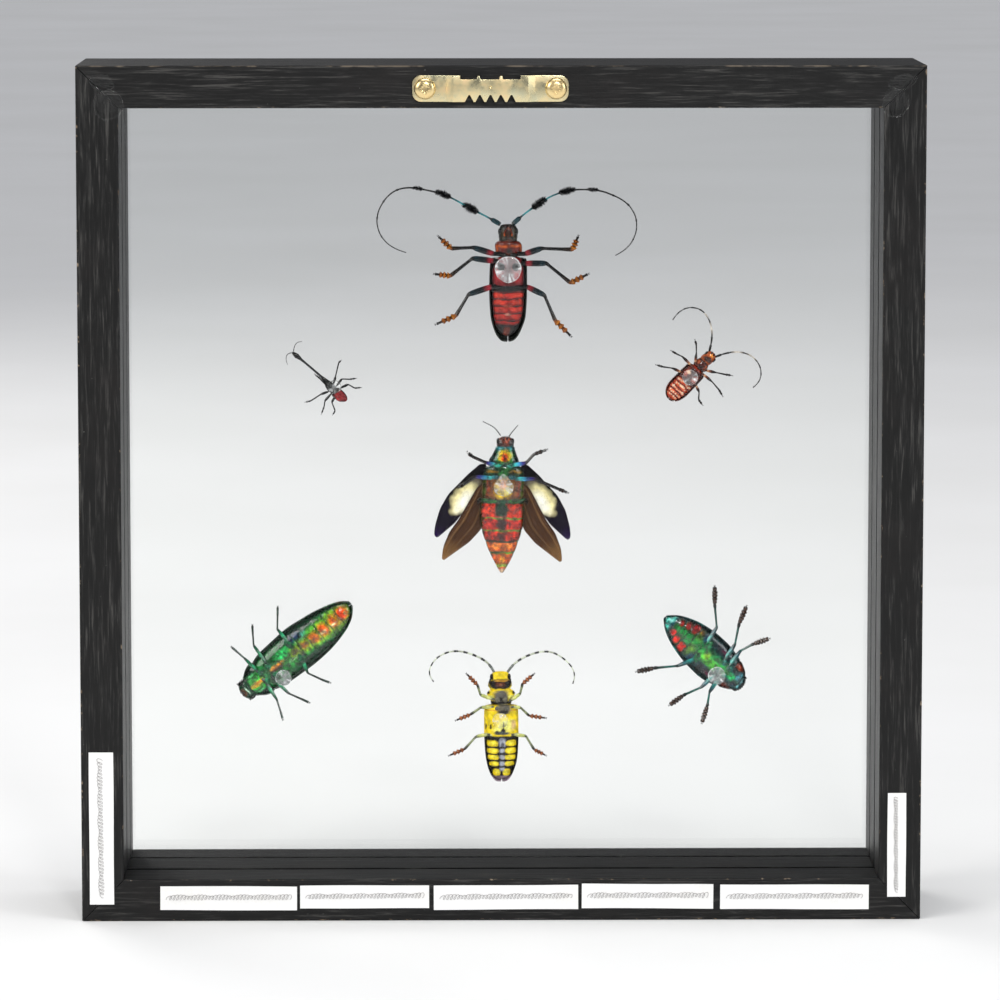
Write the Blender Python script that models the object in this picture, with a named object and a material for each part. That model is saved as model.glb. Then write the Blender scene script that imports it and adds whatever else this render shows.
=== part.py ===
"""A framed beetle display: seven beetles between two glass panes in a deep black wooden frame.

Run it with: blender --background --python part.py
Metres, +Z up. The frame stands on its bottom rail. +X is the right-hand side as seen from the back,
where the hanger and the labels are, and the back faces -Y. Each beetle is modelled in its own axes:
X across it, Z towards its head and Y from its belly to its back, with its dot of glue at the origin.
"""

import math

import bmesh
import bpy
from mathutils import Matrix, Vector

MM = 0.001
GAP = 0.3 * MM  # kept between pieces that touch on the real object

# The frame: four mitred rails with two saw cuts along their inner sides.
FRAME_WIDTH, FRAME_HEIGHT, FRAME_DEPTH = 305 * MM, 311 * MM, 57 * MM
RAIL_WIDTH = 15.3 * MM
EDGE_BREAK = 0.5 * MM
MITRE_GAP = GAP / 2

# The two panes sit in the saw cuts, at these shares of the depth from the back.
PANE_THICKNESS = 2.0 * MM
PANE_SHARES = {"rear_pane": 0.34, "front_pane": 0.71}
CUT_DEPTH = 4.0 * MM
CUT_WIDTH = PANE_THICKNESS + 2 * GAP

# The hanger: a pressed strip with a raised bridge, a row of teeth and a pan-head screw at each end.
HANGER_LENGTH, HANGER_HEIGHT, HANGER_SHEET = 56 * MM, 9.5 * MM, 0.9 * MM
HANGER_CENTRE_X, HANGER_FROM_TOP = -4.0 * MM, 8.2 * MM
BRIDGE_HALF, BRIDGE_SLOPE, BRIDGE_RISE = 13.5 * MM, 2.5 * MM, 1.6 * MM
TOOTH_PITCH, TOOTH_DEPTH, TEETH = 3.7 * MM, 2.3 * MM, 5
TOOTH_HALF = 0.42 * TOOTH_PITCH
NOTCH_HALF, NOTCH_DEPTH = (TEETH + 1) / 2 * TOOTH_PITCH, 1.4 * MM
SCREW_SPACING, HEAD_RADIUS, HEAD_HEIGHT = 47 * MM, 3.7 * MM, 2.2 * MM
SHANK_RADIUS, SHANK_LENGTH = 1.4 * MM, 10 * MM
SCREW_POINT = (0.3, 0.8)  # shares of the shank's radius, at its end, and of its length that is full round
HEAD_DOME = ((1.0, 0.45), (0.85, 0.8), (0.4, 1.0))  # shares of the head's radius and height
CROSS_LENGTH, CROSS_WIDTH = 0.8 * HEAD_RADIUS, 0.7 * MM
SCREW_HOLE_RADIUS = SHANK_RADIUS + GAP

# What stands out behind the wood moves the frame forward, so that the whole box is centred on Y = 0.
HANGER_FACE = GAP + HANGER_SHEET
STANDS_OUT = HANGER_FACE + GAP + HEAD_HEIGHT
REAR_Y = (STANDS_OUT - FRAME_DEPTH) / 2

# The labels: centre X, centre Z, width, height in millimetres and lean in degrees.
LABEL_THICKNESS = 0.2 * MM
LABELS = {
    "label_left": (-145.2, 34.3, 8.4, 56.2, 0.6),
    "label_bottom_1": (-99.2, 8.5, 49.9, 8.7, 0.3),
    "label_bottom_2": (-49.8, 8.9, 47.2, 8.6, 0.0),
    "label_bottom_3": (1.6, 8.6, 52.8, 8.9, -0.2),
    "label_bottom_4": (53.1, 8.9, 48.1, 8.8, 0.4),
    "label_bottom_5": (106.6, 8.5, 54.4, 9.0, 0.2),
    "label_right": (143.7, 27.6, 6.5, 38.5, 0.6),
}

# The glue between a belly and the rear pane.
GLUE_DEPTH = 1.2 * MM
GLUE_SIDES = 20

# How far a leg's joints lie behind the belly's lowest point: hip, knee, ankle and claw.
LEG_HEIGHTS = (1.9, 2.6, 1.4, 0.7)
LEG_RADII = (0.9, 0.75, 0.45, 0.3)
FEELER_RADIUS, FEELER_TIP_RADIUS = 0.55, 0.2
FEELER_ROOT = 1.8  # how far a feeler starts below its root, inside the head
COXA = 3  # how far a leg starts inside the body, on a beetle of full size
SMALLEST = 0.45  # the least share of full thickness that a small beetle's limbs have
LIMB_SIDES, BODY_SIDES = 6, 14

# Each beetle in millimetres and degrees.
# at, turn: where its glue is on the frame, and how far its head is turned clockwise from up.
# body: sections from head to tail, as (Z, half width, half depth, middle X).
# legs: (side, hip X, hip Z, lengths of femur, tibia and foot, their angles up from straight out).
# feelers: (side, root X, root Z, step, angles of the steps).
BEETLES = {
    "beetle_top_longhorn": {
        "at": (2.7, 235.9), "turn": 0, "glue": 5.0, "colour": (0.18, 0.02, 0.02),
        "body": [
            (16.0, 2.0, 1.4, 0), (14.2, 3.6, 2.3, 0), (10.6, 3.7, 2.5, 0), (9.8, 4.7, 2.8, 0),
            (7.6, 5.0, 3.0, 0.2), (5.2, 4.6, 2.9, 0.2), (3.4, 6.6, 3.5, 0.2), (-8, 7.0, 3.7, 0),
            (-17, 6.6, 3.2, 0), (-23, 4.9, 2.4, -0.3), (-26.9, 2.2, 1.2, -0.4),
        ],
        "legs": [
            (-1, -5.2, 5.5, (7.8, 8.1, 6.3), (17, -2, 44)), (1, 6.1, 5.5, (6.3, 11.3, 5.2), (18, -2, 67)),
            (-1, -5.2, 2.9, (7.8, 10.3, 5.7), (7, -38, 7)), (1, 6.1, 2.0, (7.8, 11.3, 7.1), (0, -39, 27)),
            (-1, -5.9, -6.4, (9, 9, 7.7), (-19, -59, -23)), (1, 6.8, -6.5, (7.1, 10, 8), (-26, -67, -45)),
        ],
        "feelers": [
            (-1, -2.7, 16, 4.85, (30, 27, 28, 30, 25, 12, 12, 2, -24, -51, -66, -93, -117, -142, -162)),
            (1, 1.5, 16, 5.05, (42, 36, 35, 25, 15, 1, -2, -20, -25, -47, -74, -101, -124, -151)),
        ],
    },
    "beetle_giraffe_weevil": {
        "at": (-60.6, 193.1), "turn": -48.6, "glue": 2.6, "colour": (0.02, 0.02, 0.02), "coxa": 1.2,
        "body": [
            (19.8, 0.35, 0.3, -0.9), (17.2, 0.8, 0.7, -0.8), (15, 0.5, 0.5, -0.7), (9, 0.45, 0.45, -0.6),
            (4.5, 0.7, 0.7, -0.7), (2.2, 1.5, 1.3, -1.1), (-0.6, 1.7, 1.5, -1.4), (-1.6, 2.0, 1.7, -1.4),
            (-4.4, 2.1, 1.7, -1.4), (-6.2, 1.2, 1.1, -1.2), (-6.9, 0.5, 0.5, -1.1),
        ],
        "legs": [
            (-1, -2.3, 0.6, (1.6, 3.8, 2.4), (110, 96, 90)), (1, 0.7, 0.9, (2.4, 5.4, 1.1), (28, 28, -5)),
            (1, 0.9, -0.4, (2.9, 2.8, 2.4), (3, -51, -40)), (1, 0.9, -2.0, (3.2, 2.8, 2.3), (-24, -78, -42)),
            (-1, -2.9, 0.4, (2.9, 4.5, 2.0), (28, 16, 37)), (-1, -2.9, -0.9, (3.4, 2.2, 2.8), (0, -33, -21)),
            (-1, -2.6, -2.6, (2.5, 3.4, 1.6), (-12, -63, -8)),
        ],
        "feelers": [
            (-1, -0.9, 19.6, 2.1, (35, -30, -60)), (1, -0.5, 19.4, 2.0, (36, 10, -45)),
        ],
    },
    "beetle_orange_longhorn": {
        "at": (69.0, 196.3), "turn": 44.2, "glue": 3.0, "colour": (0.5, 0.1, 0.03), "coxa": 2,
        "body": [
            (12.3, 0.9, 0.9, 0.2), (11, 2.0, 1.6, 0.2), (8.6, 2.4, 1.8, 0), (7.2, 2.3, 1.8, 0),
            (5.6, 2.9, 2.1, 0.1), (4.4, 2.7, 2.1, 0), (3.5, 4.0, 2.4, 0), (-5.5, 4.2, 2.5, 0),
            (-8.4, 3.7, 2.2, 0), (-10.6, 2.3, 1.4, 0.1), (-11.4, 0.9, 0.6, 0.2),
        ],
        "legs": [
            (-1, -2.4, 5.2, (3.2, 3.4, 1.6), (53, 45, 28)), (1, 2.7, 5.9, (3.4, 3.6, 2.4), (32, 33, 36)),
            (-1, -3.0, 3.4, (4.2, 2.6, 2.0), (0, -18, -12)), (1, 2.9, 4.1, (4.0, 4.0, 2.6), (4, -5, -16)),
            (-1, -3.7, -1.0, (3.4, 3.4, 2.6), (-20, -36, -27)),
            (1, 3.8, -0.7, (2.6, 2.8, 2.4), (-20, -50, -10)),
        ],
        "feelers": [
            (-1, -1.2, 11.3, 2.45, (60, 55, 48, 36, 30, 12, -2, -28, -45, -68, -86, -100)),
            (1, 1.5, 11.3, 2.35, (66, 60, 55, 45, 32, 20, 2, -12, -32, -50, -74, -96)),
        ],
    },
    "beetle_open_winged": {
        "at": (1.0, 156.5), "turn": 1.1, "glue": 4.0, "colour": (0.05, 0.2, 0.08),
        "body": [
            (17.8, 1.2, 1.0, 0.4), (16.4, 3.2, 2.0, 0.4), (13.2, 3.7, 2.6, 0.4), (8.3, 5.7, 3.4, 0),
            (7.2, 5.6, 3.4, 0), (5.5, 7.8, 3.6, 0), (-4, 8.0, 3.9, 0), (-12, 8.0, 3.6, 0),
            (-16.5, 7.3, 3.2, 0), (-20.5, 6.1, 2.8, 0), (-24.7, 4.5, 2.2, 0), (-29.5, 2.6, 1.4, 0),
            (-32.6, 0.6, 0.5, 0),
        ],
        "legs": [
            (-1, -2.6, 7.4, (4.1, 5.6, 2.1), (12, 24, 45)), (1, 2.9, 7.5, (5.3, 4.2, 4.9), (10, 50, 22)),
            (-1, -3.5, 2.7, (7.0, 5.0, 2.0), (2, -35, -30)), (1, 4.2, 2.5, (7.4, 9.0, 3.6), (0, -22, -20)),
            (-1, -3.1, -6.7, (7.4, 6.0, 3.0), (16, -70, -80)),
            (1, 3.1, -6.7, (6.8, 6.0, 3.0), (20, -70, -80)),
        ],
        "feelers": [(-1, -1.3, 17.9, 2.2, (55, 46, 25, 25)), (1, 1.6, 17.6, 1.85, (57, 51, 49))],
        "wings": {
            "elytron": [
                (6.2, 7.0), (8.3, 7.7), (12.7, 3.7), (20, -4), (23, -9.4), (24.8, -15.5), (25.2, -19.3),
                (23.7, -20.4), (17.5, -14.7), (8.6, -3), (5.5, 1.8),
            ],
            "hind_wing": [
                (5.0, 2), (9.5, -1), (16, -13), (19.5, -18), (21.6, -23.5), (22.1, -27.5), (21.6, -28.6),
                (17.5, -25.6), (12, -21.5), (7.8, -16.7), (5, -6),
            ],
        },
    },
    "beetle_green_jewel": {
        "at": (-79.6, 85.9), "turn": -129.6, "glue": 3.1, "colour": (0.05, 0.4, 0.1),
        "body": [
            (16.3, 1.4, 1.2, 4.5), (14.8, 3.6, 2.2, 4.6), (12.5, 4.6, 2.8, 4.7), (8.8, 6.6, 3.4, 4.6),
            (2, 7.6, 4.0, 4.6), (-11.2, 8.5, 4.4, 4.5), (-19.8, 7.8, 4.0, 4.2), (-27.9, 6.1, 3.2, 4.2),
            (-33, 4.0, 2.2, 4.4), (-36.1, 1.2, 0.8, 4.8),
        ],
        "legs": [
            (1, 8.4, 6.1, (5.8, 4.4, 2.0), (5, 8, 6)), (1, 8.8, 1.6, (7.2, 5.2, 2.2), (-5, -36, -38)),
            (1, 9.4, -9.6, (5.6, 5.8, 2.4), (1, -41, -41)), (-1, 1.8, 6.4, (6.7, 5.2, 2.2), (8, 22, 24)),
            (-1, 0.6, 3.2, (6.6, 5.4, 2.6), (-6, -27, -27)), (-1, 1.5, -9.7, (6.5, 6.0, 2.6), (18, -26, -32)),
        ],
        "feelers": [(1, 6.0, 15.0, 1.4, (10, -1)), (-1, 3.4, 15.0, 1.4, (10, 0))],
    },
    "beetle_flat_spotted": {
        "at": (79.2, 86.4), "turn": 132.5, "glue": 3.4, "colour": (0.02, 0.16, 0.14),
        "body": [
            (10.4, 1.4, 0.9, -2.6), (9.3, 2.9, 1.6, -3.0), (7.6, 4.4, 2.2, -3.3), (5.6, 5.5, 2.6, -3.3),
            (3.2, 6.4, 2.9, -3.3), (-1.5, 7.8, 3.2, -3.0), (-5, 8.2, 3.4, -3.0), (-10, 8.1, 3.4, -3.1),
            (-16.5, 7.1, 3.0, -3.1), (-21, 5.7, 2.5, -3.0), (-25, 3.7, 1.8, -2.9), (-28.3, 0.8, 0.5, -2.7),
        ],
        "legs": [
            (-1, -5.5, -10.5, (7.5, 8.4, 6.8), (-10, -48, -43)),
            (-1, -6.5, -1.7, (6.3, 7.7, 7.1), (-8, -32, -21)),
            (-1, -5.8, 1.1, (6.6, 5.3, 6.1), (-5, 18, 28)), (1, -0.1, -9.3, (8.2, 8.4, 6.7), (-25, -43, -37)),
            (1, 0.6, -0.6, (6.7, 7.0, 6.3), (-3, -24, -13)), (1, 1.0, 1.5, (5.5, 5.1, 6.5), (10, 33, 25)),
        ],
        "feelers": [],
    },
    "beetle_yellow_longhorn": {
        "at": (-0.2, 69.8), "turn": -0.5, "glue": 3.0, "colour": (0.7, 0.5, 0.03),
        "body": [
            (17.6, 2.6, 1.6, 0.2), (15.6, 3.6, 2.4, 0.2), (12.8, 4.5, 2.8, 0), (10.6, 3.7, 2.6, 0.2),
            (9.4, 5.4, 3.0, 0.4), (7.0, 4.2, 2.9, 0.4), (5.8, 4.4, 3.0, 0.4), (5.0, 6.4, 3.4, 0.4),
            (-5.5, 6.4, 3.6, 0.4), (-11.6, 6.1, 3.3, 0.4), (-15.8, 5.6, 2.8, 0.4), (-20, 4.2, 2.2, 0.3),
            (-23.4, 2.2, 1.2, 0.3),
        ],
        "legs": [
            (-1, -2.9, 7.7, (4.6, 3.8, 5.7), (21, 75, 47)), (1, 4.1, 7.2, (4.1, 3.8, 5.5), (36, 77, 41)),
            (-1, -2.9, 4.8, (4.1, 4.5, 5.7), (-2, -33, -21)), (1, 4.9, 4.8, (2.7, 4.2, 6.0), (-9, -44, -8)),
            (-1, -4.6, -5.4, (4.4, 6.1, 6.0), (-10, -47, -22)),
            (1, 4.8, -5.5, (4.6, 5.8, 4.6), (-8, -59, -27)),
        ],
        "feelers": [
            (-1, -2.0, 17.2, 3.2, (62, 40, 27, 21, 12, -2, -20, -35, -56, -80, -126)),
            (1, 2.8, 17.2, 3.2, (55, 38, 27, 20, 10, -5, -28, -38, -50, -72, -108)),
        ],
    },
}
ELYTRON_Y, HIND_WING_Y, WING_THICKNESS = 5.2, 4.4, 0.7


def clear_scene():
    for thing in list(bpy.data.objects):
        bpy.data.objects.remove(thing, do_unlink=True)


def material(name, colour, roughness, metallic=0.0, transmission=0.0):
    made = bpy.data.materials.new(name)
    made.use_nodes = True
    shader = made.node_tree.nodes["Principled BSDF"]
    shader.inputs["Base Color"].default_value = (*colour, 1)
    shader.inputs["Roughness"].default_value = roughness
    shader.inputs["Metallic"].default_value = metallic
    shader.inputs["Transmission Weight"].default_value = transmission
    return made


def mesh_object(name, bm, skin=None, smooth_below=None):
    """The bmesh as an object, with its faces turned outwards."""
    bmesh.ops.recalc_face_normals(bm, faces=bm.faces)
    mesh = bpy.data.meshes.new(name)
    bm.to_mesh(mesh)
    bm.free()
    if smooth_below is not None:
        mesh.shade_smooth()
        mesh.set_sharp_from_angle(angle=smooth_below)
    made = bpy.data.objects.new(name, mesh)
    if skin is not None:
        mesh.materials.append(skin)
    bpy.context.scene.collection.objects.link(made)
    return made


def boolean(target, other, operation):
    """A live Boolean of the target with a helper that stays out of the build."""
    other.hide_render = True
    other.display_type = "WIRE"
    cut = target.modifiers.new(f"{operation.lower()} {other.name}", "BOOLEAN")
    cut.operation = operation
    cut.object = other
    cut.use_self = operation == "UNION"


def add_loops(bm, rings):
    """Closed skin through rings of points, each with as many as the next, and a face on both ends."""
    loops = [[bm.verts.new(point) for point in ring] for ring in rings]
    for near, far in zip(loops, loops[1:]):
        for i in range(len(near)):
            j = (i + 1) % len(near)
            bm.faces.new((near[i], near[j], far[j], far[i]))
    bm.faces.new(loops[0])
    bm.faces.new(reversed(loops[-1]))


# ---- the frame ----


def cut_centre(share):
    return REAR_Y + share * FRAME_DEPTH


def rail_section():
    """The rail's cross-section as (distance in from the outer face, Y), with a saw cut for each pane."""
    floor = RAIL_WIDTH - CUT_DEPTH
    section = [(0, REAR_Y), (RAIL_WIDTH, REAR_Y)]
    for share in PANE_SHARES.values():
        near, far = cut_centre(share) - CUT_WIDTH / 2, cut_centre(share) + CUT_WIDTH / 2
        section += [(RAIL_WIDTH, near), (floor, near), (floor, far), (RAIL_WIDTH, far)]
    return section + [(RAIL_WIDTH, REAR_Y + FRAME_DEPTH), (0, REAR_Y + FRAME_DEPTH)]


def rail(name, length, across, quarter_turns):
    """A mitred rail whose outer face is half of across from the frame's middle."""
    bm = bmesh.new()
    rings = [
        [(side * (length / 2 - inward - MITRE_GAP), y, inward - across / 2) for inward, y in rail_section()]
        for side in (-1, 1)
    ]
    add_loops(bm, rings)
    bmesh.ops.recalc_face_normals(bm, faces=bm.faces)
    faces_y = (REAR_Y, REAR_Y + FRAME_DEPTH)
    arrises = [
        edge for edge in bm.edges
        if edge.calc_length() > length / 2
        and all(min(abs(v.co.y - y) for y in faces_y) < GAP for v in edge.verts)
    ]
    bmesh.ops.bevel(bm, geom=arrises, offset=EDGE_BREAK, segments=2, profile=0.5, affect="EDGES")
    middle = Matrix.Translation((0, 0, FRAME_HEIGHT / 2))
    bm.transform(middle @ Matrix.Rotation(quarter_turns * math.pi / 2, 4, "Y"))
    return mesh_object(name, bm, material(name, (0.012, 0.011, 0.010), 0.45))


def box(name, centre, size, skin=None, lean=0.0):
    """A block, turned about Y by the lean."""
    bm = bmesh.new()
    bmesh.ops.create_cube(bm, size=1)
    bm.transform(Matrix.Diagonal((*size, 1)))
    made = mesh_object(name, bm, skin)
    made.location = centre
    made.rotation_euler.y = math.radians(lean)
    return made


def cylinder(name, radius, y_from, y_to, place, skin=None, sides=24):
    """A round bar along Y at place, as (X, Z)."""
    bm = bmesh.new()
    circle = [i / sides * math.tau for i in range(sides)]
    rings = [[(radius * math.cos(a), y, radius * math.sin(a)) for a in circle] for y in (y_from, y_to)]
    add_loops(bm, rings)
    made = mesh_object(name, bm, skin, math.radians(40))
    made.location = (place[0], 0, place[1])
    return made


def build_frame():
    top = rail("rail_top", FRAME_WIDTH, FRAME_HEIGHT, 2)
    rail("rail_bottom", FRAME_WIDTH, FRAME_HEIGHT, 0)
    rail("rail_left", FRAME_HEIGHT, FRAME_WIDTH, 1)
    rail("rail_right", FRAME_HEIGHT, FRAME_WIDTH, -1)
    for x, z in screw_places():
        hole = cylinder("screw_hole", SCREW_HOLE_RADIUS, REAR_Y - GAP, REAR_Y + SHANK_LENGTH + GAP, (x, z))
        boolean(top, hole, "DIFFERENCE")


def build_panes():
    reach = 2 * (CUT_DEPTH - GAP - RAIL_WIDTH)
    for name, share in PANE_SHARES.items():
        size = (FRAME_WIDTH + reach, PANE_THICKNESS, FRAME_HEIGHT + reach)
        glass = material(name, (0.95, 0.97, 0.96), 0.02, transmission=1.0)
        box(name, (0, cut_centre(share), FRAME_HEIGHT / 2), size, glass)


# ---- the hanger ----


def hanger_z():
    return FRAME_HEIGHT - HANGER_FROM_TOP


def screw_places():
    return [(HANGER_CENTRE_X + side * SCREW_SPACING / 2, hanger_z()) for side in (-1, 1)]


def hanger_stations():
    """Stations along the strip as (X, bottom Z, top Z, how far it is raised), from one end to the other."""
    half, radius = HANGER_LENGTH / 2, HANGER_HEIGHT / 2
    arc = [math.radians(a) for a in (12, 30, 50, 70, 90)]
    left = [(-half + radius * (1 - math.cos(a)), radius * math.sin(a), 0) for a in arc]
    left += [(-BRIDGE_HALF - BRIDGE_SLOPE, radius, 0), (-BRIDGE_HALF, radius, BRIDGE_RISE)]
    stations = [(x, -r, r, rise) for x, r, rise in left]
    notch_top = radius - NOTCH_DEPTH
    stations.append((-NOTCH_HALF - GAP, -radius, radius, BRIDGE_RISE))
    stations.append((-NOTCH_HALF, -radius, notch_top, BRIDGE_RISE))
    for i in range(TEETH):
        middle = (i - (TEETH - 1) / 2) * TOOTH_PITCH
        for offset, depth in ((-TOOTH_HALF, 0), (0, TOOTH_DEPTH), (TOOTH_HALF, 0)):
            stations.append((middle + offset, depth - radius, notch_top, BRIDGE_RISE))
    stations.append((NOTCH_HALF, -radius, notch_top, BRIDGE_RISE))
    stations.append((NOTCH_HALF + GAP, -radius, radius, BRIDGE_RISE))
    return stations + [(-x, -r, r, rise) for x, r, rise in reversed(left)]


def build_hanger():
    bm = bmesh.new()
    add_loops(bm, [
        [(x, -rise, low), (x, -rise, high), (x, -rise - HANGER_SHEET, high), (x, -rise - HANGER_SHEET, low)]
        for x, low, high, rise in hanger_stations()
    ])
    plate = mesh_object("hanger_plate", bm, material("hanger_plate", (0.62, 0.5, 0.25), 0.3, 1.0))
    plate.location = (HANGER_CENTRE_X, REAR_Y - GAP, hanger_z())
    for x, z in screw_places():
        hole = cylinder("plate_hole", SCREW_HOLE_RADIUS, REAR_Y - 2 * HANGER_FACE, REAR_Y, (x, z))
        boolean(plate, hole, "DIFFERENCE")


def build_screws():
    """A domed head with a shank below it, turned about Y, and a cross cut into the head."""
    seat = -(HANGER_FACE + GAP)
    point, full = SCREW_POINT
    rings = [(point * SHANK_RADIUS, SHANK_LENGTH), (SHANK_RADIUS, full * SHANK_LENGTH), (SHANK_RADIUS, seat)]
    rings.append((HEAD_RADIUS, seat))
    rings += [(wide * HEAD_RADIUS, seat - high * HEAD_HEIGHT) for wide, high in HEAD_DOME]
    for name, (x, z) in zip(("screw_left", "screw_right"), screw_places()):
        bm = bmesh.new()
        circle = [i / 20 * math.tau for i in range(20)]
        add_loops(bm, [[(r * math.cos(a), y, r * math.sin(a)) for a in circle] for r, y in rings])
        screw = mesh_object(name, bm, material(name, (0.7, 0.58, 0.3), 0.25, 1.0), math.radians(40))
        screw.location = (x, REAR_Y, z)
        arm = Vector((CROSS_LENGTH, HEAD_HEIGHT, CROSS_WIDTH))
        for part_turn in (0, 90):
            slot = box("cross_slot", (x, REAR_Y + seat - HEAD_HEIGHT, z), arm, lean=part_turn)
            boolean(screw, slot, "DIFFERENCE")


# ---- the labels ----


def build_labels():
    y = REAR_Y - GAP - LABEL_THICKNESS / 2
    for name, (x, z, width, height, lean) in LABELS.items():
        size = (width * MM, LABEL_THICKNESS, height * MM)
        box(name, (x * MM, y, z * MM), size, material(name, (0.85, 0.84, 0.8), 0.8), lean)


# ---- the beetles ----


def belly_y():
    return cut_centre(PANE_SHARES["rear_pane"]) + PANE_THICKNESS / 2 + GAP + GLUE_DEPTH + GAP


def axis_height(sections):
    """The body's axis lies this far behind the belly, so that the deepest section just reaches Y = 0."""
    return max(half_depth for _, _, half_depth, _ in sections)


def body_rings(sections):
    """Elliptical rings, all on one axis."""
    axis = axis_height(sections)
    circle = [(math.cos(a), math.sin(a)) for a in (i / BODY_SIDES * math.tau for i in range(BODY_SIDES))]
    return [
        [(middle + c * wide, axis + s * deep, z) for c, s in circle]
        for z, wide, deep, middle in sections
    ]


def walk(start, side, lengths, angles):
    """Points of a limb that leaves start and turns at each joint, as (X, Z)."""
    points = [Vector(start)]
    for length, angle in zip(lengths, map(math.radians, angles)):
        points.append(points[-1] + length * Vector((side * math.cos(angle), math.sin(angle))))
    return points


def add_limb(bm, points, radii):
    """A tapered tube through points in 3-D that lie near the XZ plane."""
    rings = []
    for i, (point, radius) in enumerate(zip(points, radii)):
        along = (points[min(i + 1, len(points) - 1)] - points[max(i - 1, 0)]).normalized()
        out = along.cross(Vector((0, 1, 0))).normalized()
        up = out.cross(along)
        circle = [k / LIMB_SIDES * math.tau for k in range(LIMB_SIDES)]
        rings.append([point + radius * (math.cos(a) * out + math.sin(a) * up) for a in circle])
    add_loops(bm, rings)


def add_leg(bm, side, x, z, lengths, angles, coxa, size):
    """A leg from inside the body: the hip, then femur, tibia and foot."""
    flat = [Vector((x - side * coxa, z))] + walk((x, z), side, lengths, angles)
    heights = [LEG_HEIGHTS[0] * size] + [h * size for h in LEG_HEIGHTS]
    radii = [LEG_RADII[0] * size] + [r * size for r in LEG_RADII]
    add_limb(bm, [Vector((p.x, h, p.y)) for p, h in zip(flat, heights)], radii)


def add_feeler(bm, side, x, z, step, angles, height, size):
    flat = [Vector((x - side * size, z - FEELER_ROOT * size))]
    flat += walk((x, z), side, [step] * len(angles), angles)
    last = len(flat) - 1
    radii = [size * (FEELER_RADIUS + (FEELER_TIP_RADIUS - FEELER_RADIUS) * i / last) for i in range(last + 1)]
    add_limb(bm, [Vector((p.x, height, p.y)) for p in flat], radii)


def add_wing(bm, outline, side, y):
    """A thin plate, held at the height y behind the belly."""
    half = WING_THICKNESS / 2
    add_loops(bm, [[(side * x, level, z) for x, z in outline] for level in (y - half, y + half)])


def build_beetle(name, plan):
    """The body in one piece with its limbs, and with its wings where they are open."""
    coxa = plan.get("coxa", COXA)
    size = max(coxa / COXA, SMALLEST)
    body, limbs = bmesh.new(), bmesh.new()
    add_loops(body, body_rings(plan["body"]))
    for side, x, z, lengths, angles in plan["legs"]:
        add_leg(limbs, side, x, z, lengths, angles, coxa, size)
    for side, x, z, step, angles in plan["feelers"]:
        add_feeler(limbs, side, x, z, step, angles, axis_height(plan["body"]), size)
    wings = plan.get("wings", {})
    for side in (-1, 1):
        for outline, y in zip(wings.values(), (ELYTRON_Y, HIND_WING_Y)):
            add_wing(limbs, outline, side, y)
    for bm in (body, limbs):
        bm.transform(Matrix.Scale(MM, 4))
    beetle = mesh_object(name, body, material(name, plan["colour"], 0.3, 0.3), math.radians(60))
    spread = mesh_object(name + "_limbs", limbs)
    boolean(beetle, spread, "UNION")
    x, z = plan["at"]
    beetle.location = (x * MM, belly_y(), z * MM)
    beetle.rotation_euler.y = math.radians(plan["turn"])
    spread.parent = beetle


def build_glue(name, plan):
    """A clear dot that stands on the rear pane."""
    y = belly_y() - GAP
    x, z = plan["at"]
    clear = material(name, (0.95, 0.95, 0.93), 0.05, transmission=1.0)
    cylinder(name, plan["glue"] * MM, y - GLUE_DEPTH, y, (x * MM, z * MM), clear, GLUE_SIDES)


clear_scene()
build_frame()
build_panes()
build_hanger()
build_screws()
build_labels()
for beetle_name, beetle_plan in BEETLES.items():
    build_beetle(beetle_name, beetle_plan)
    build_glue(beetle_name.replace("beetle", "glue"), beetle_plan)
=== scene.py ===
# %% [markdown]
# # A framed display of seven beetles, seen from its back
#
# The real thing is a deep black wooden frame with two panes of glass. Seven dried beetles are
# glued by their bellies to the inner face of the rear pane, so from the back you look at their
# undersides and from the front at their backs. A toothed hanger and seven paper strips are fixed
# behind.
#
# The solid model comes first. It fixes every size, and this lesson only gives the pieces their
# looks: plain solids are kept where their shape is right, and the small ones are modelled again,
# finer.

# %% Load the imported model
import math

import bpy
import numpy as np
from mathutils import Euler, Matrix, Vector, noise


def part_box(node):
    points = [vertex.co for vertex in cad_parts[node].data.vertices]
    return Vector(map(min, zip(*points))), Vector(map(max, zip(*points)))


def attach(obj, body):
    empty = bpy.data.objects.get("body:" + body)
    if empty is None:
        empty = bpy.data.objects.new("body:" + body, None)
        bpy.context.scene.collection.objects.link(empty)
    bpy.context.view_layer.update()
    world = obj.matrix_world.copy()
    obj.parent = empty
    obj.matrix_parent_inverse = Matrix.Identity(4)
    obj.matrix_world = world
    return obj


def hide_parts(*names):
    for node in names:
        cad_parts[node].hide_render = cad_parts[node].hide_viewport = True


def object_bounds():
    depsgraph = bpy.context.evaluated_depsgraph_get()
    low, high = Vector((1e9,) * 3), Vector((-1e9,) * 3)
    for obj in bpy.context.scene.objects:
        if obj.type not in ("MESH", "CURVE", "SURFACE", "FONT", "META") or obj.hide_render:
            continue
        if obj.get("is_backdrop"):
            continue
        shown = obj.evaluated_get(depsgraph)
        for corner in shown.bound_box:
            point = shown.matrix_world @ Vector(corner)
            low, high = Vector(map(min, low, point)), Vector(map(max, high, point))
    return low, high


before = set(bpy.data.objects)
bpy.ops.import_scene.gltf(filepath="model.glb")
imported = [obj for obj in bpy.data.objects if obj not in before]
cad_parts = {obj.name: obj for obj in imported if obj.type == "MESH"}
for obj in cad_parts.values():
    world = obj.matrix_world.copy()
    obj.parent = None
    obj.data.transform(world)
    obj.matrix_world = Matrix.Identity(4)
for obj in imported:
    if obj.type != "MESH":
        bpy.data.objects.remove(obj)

MM = 0.001
cad_low, cad_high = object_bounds()
rear_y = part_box("rail_top")[0].y
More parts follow.
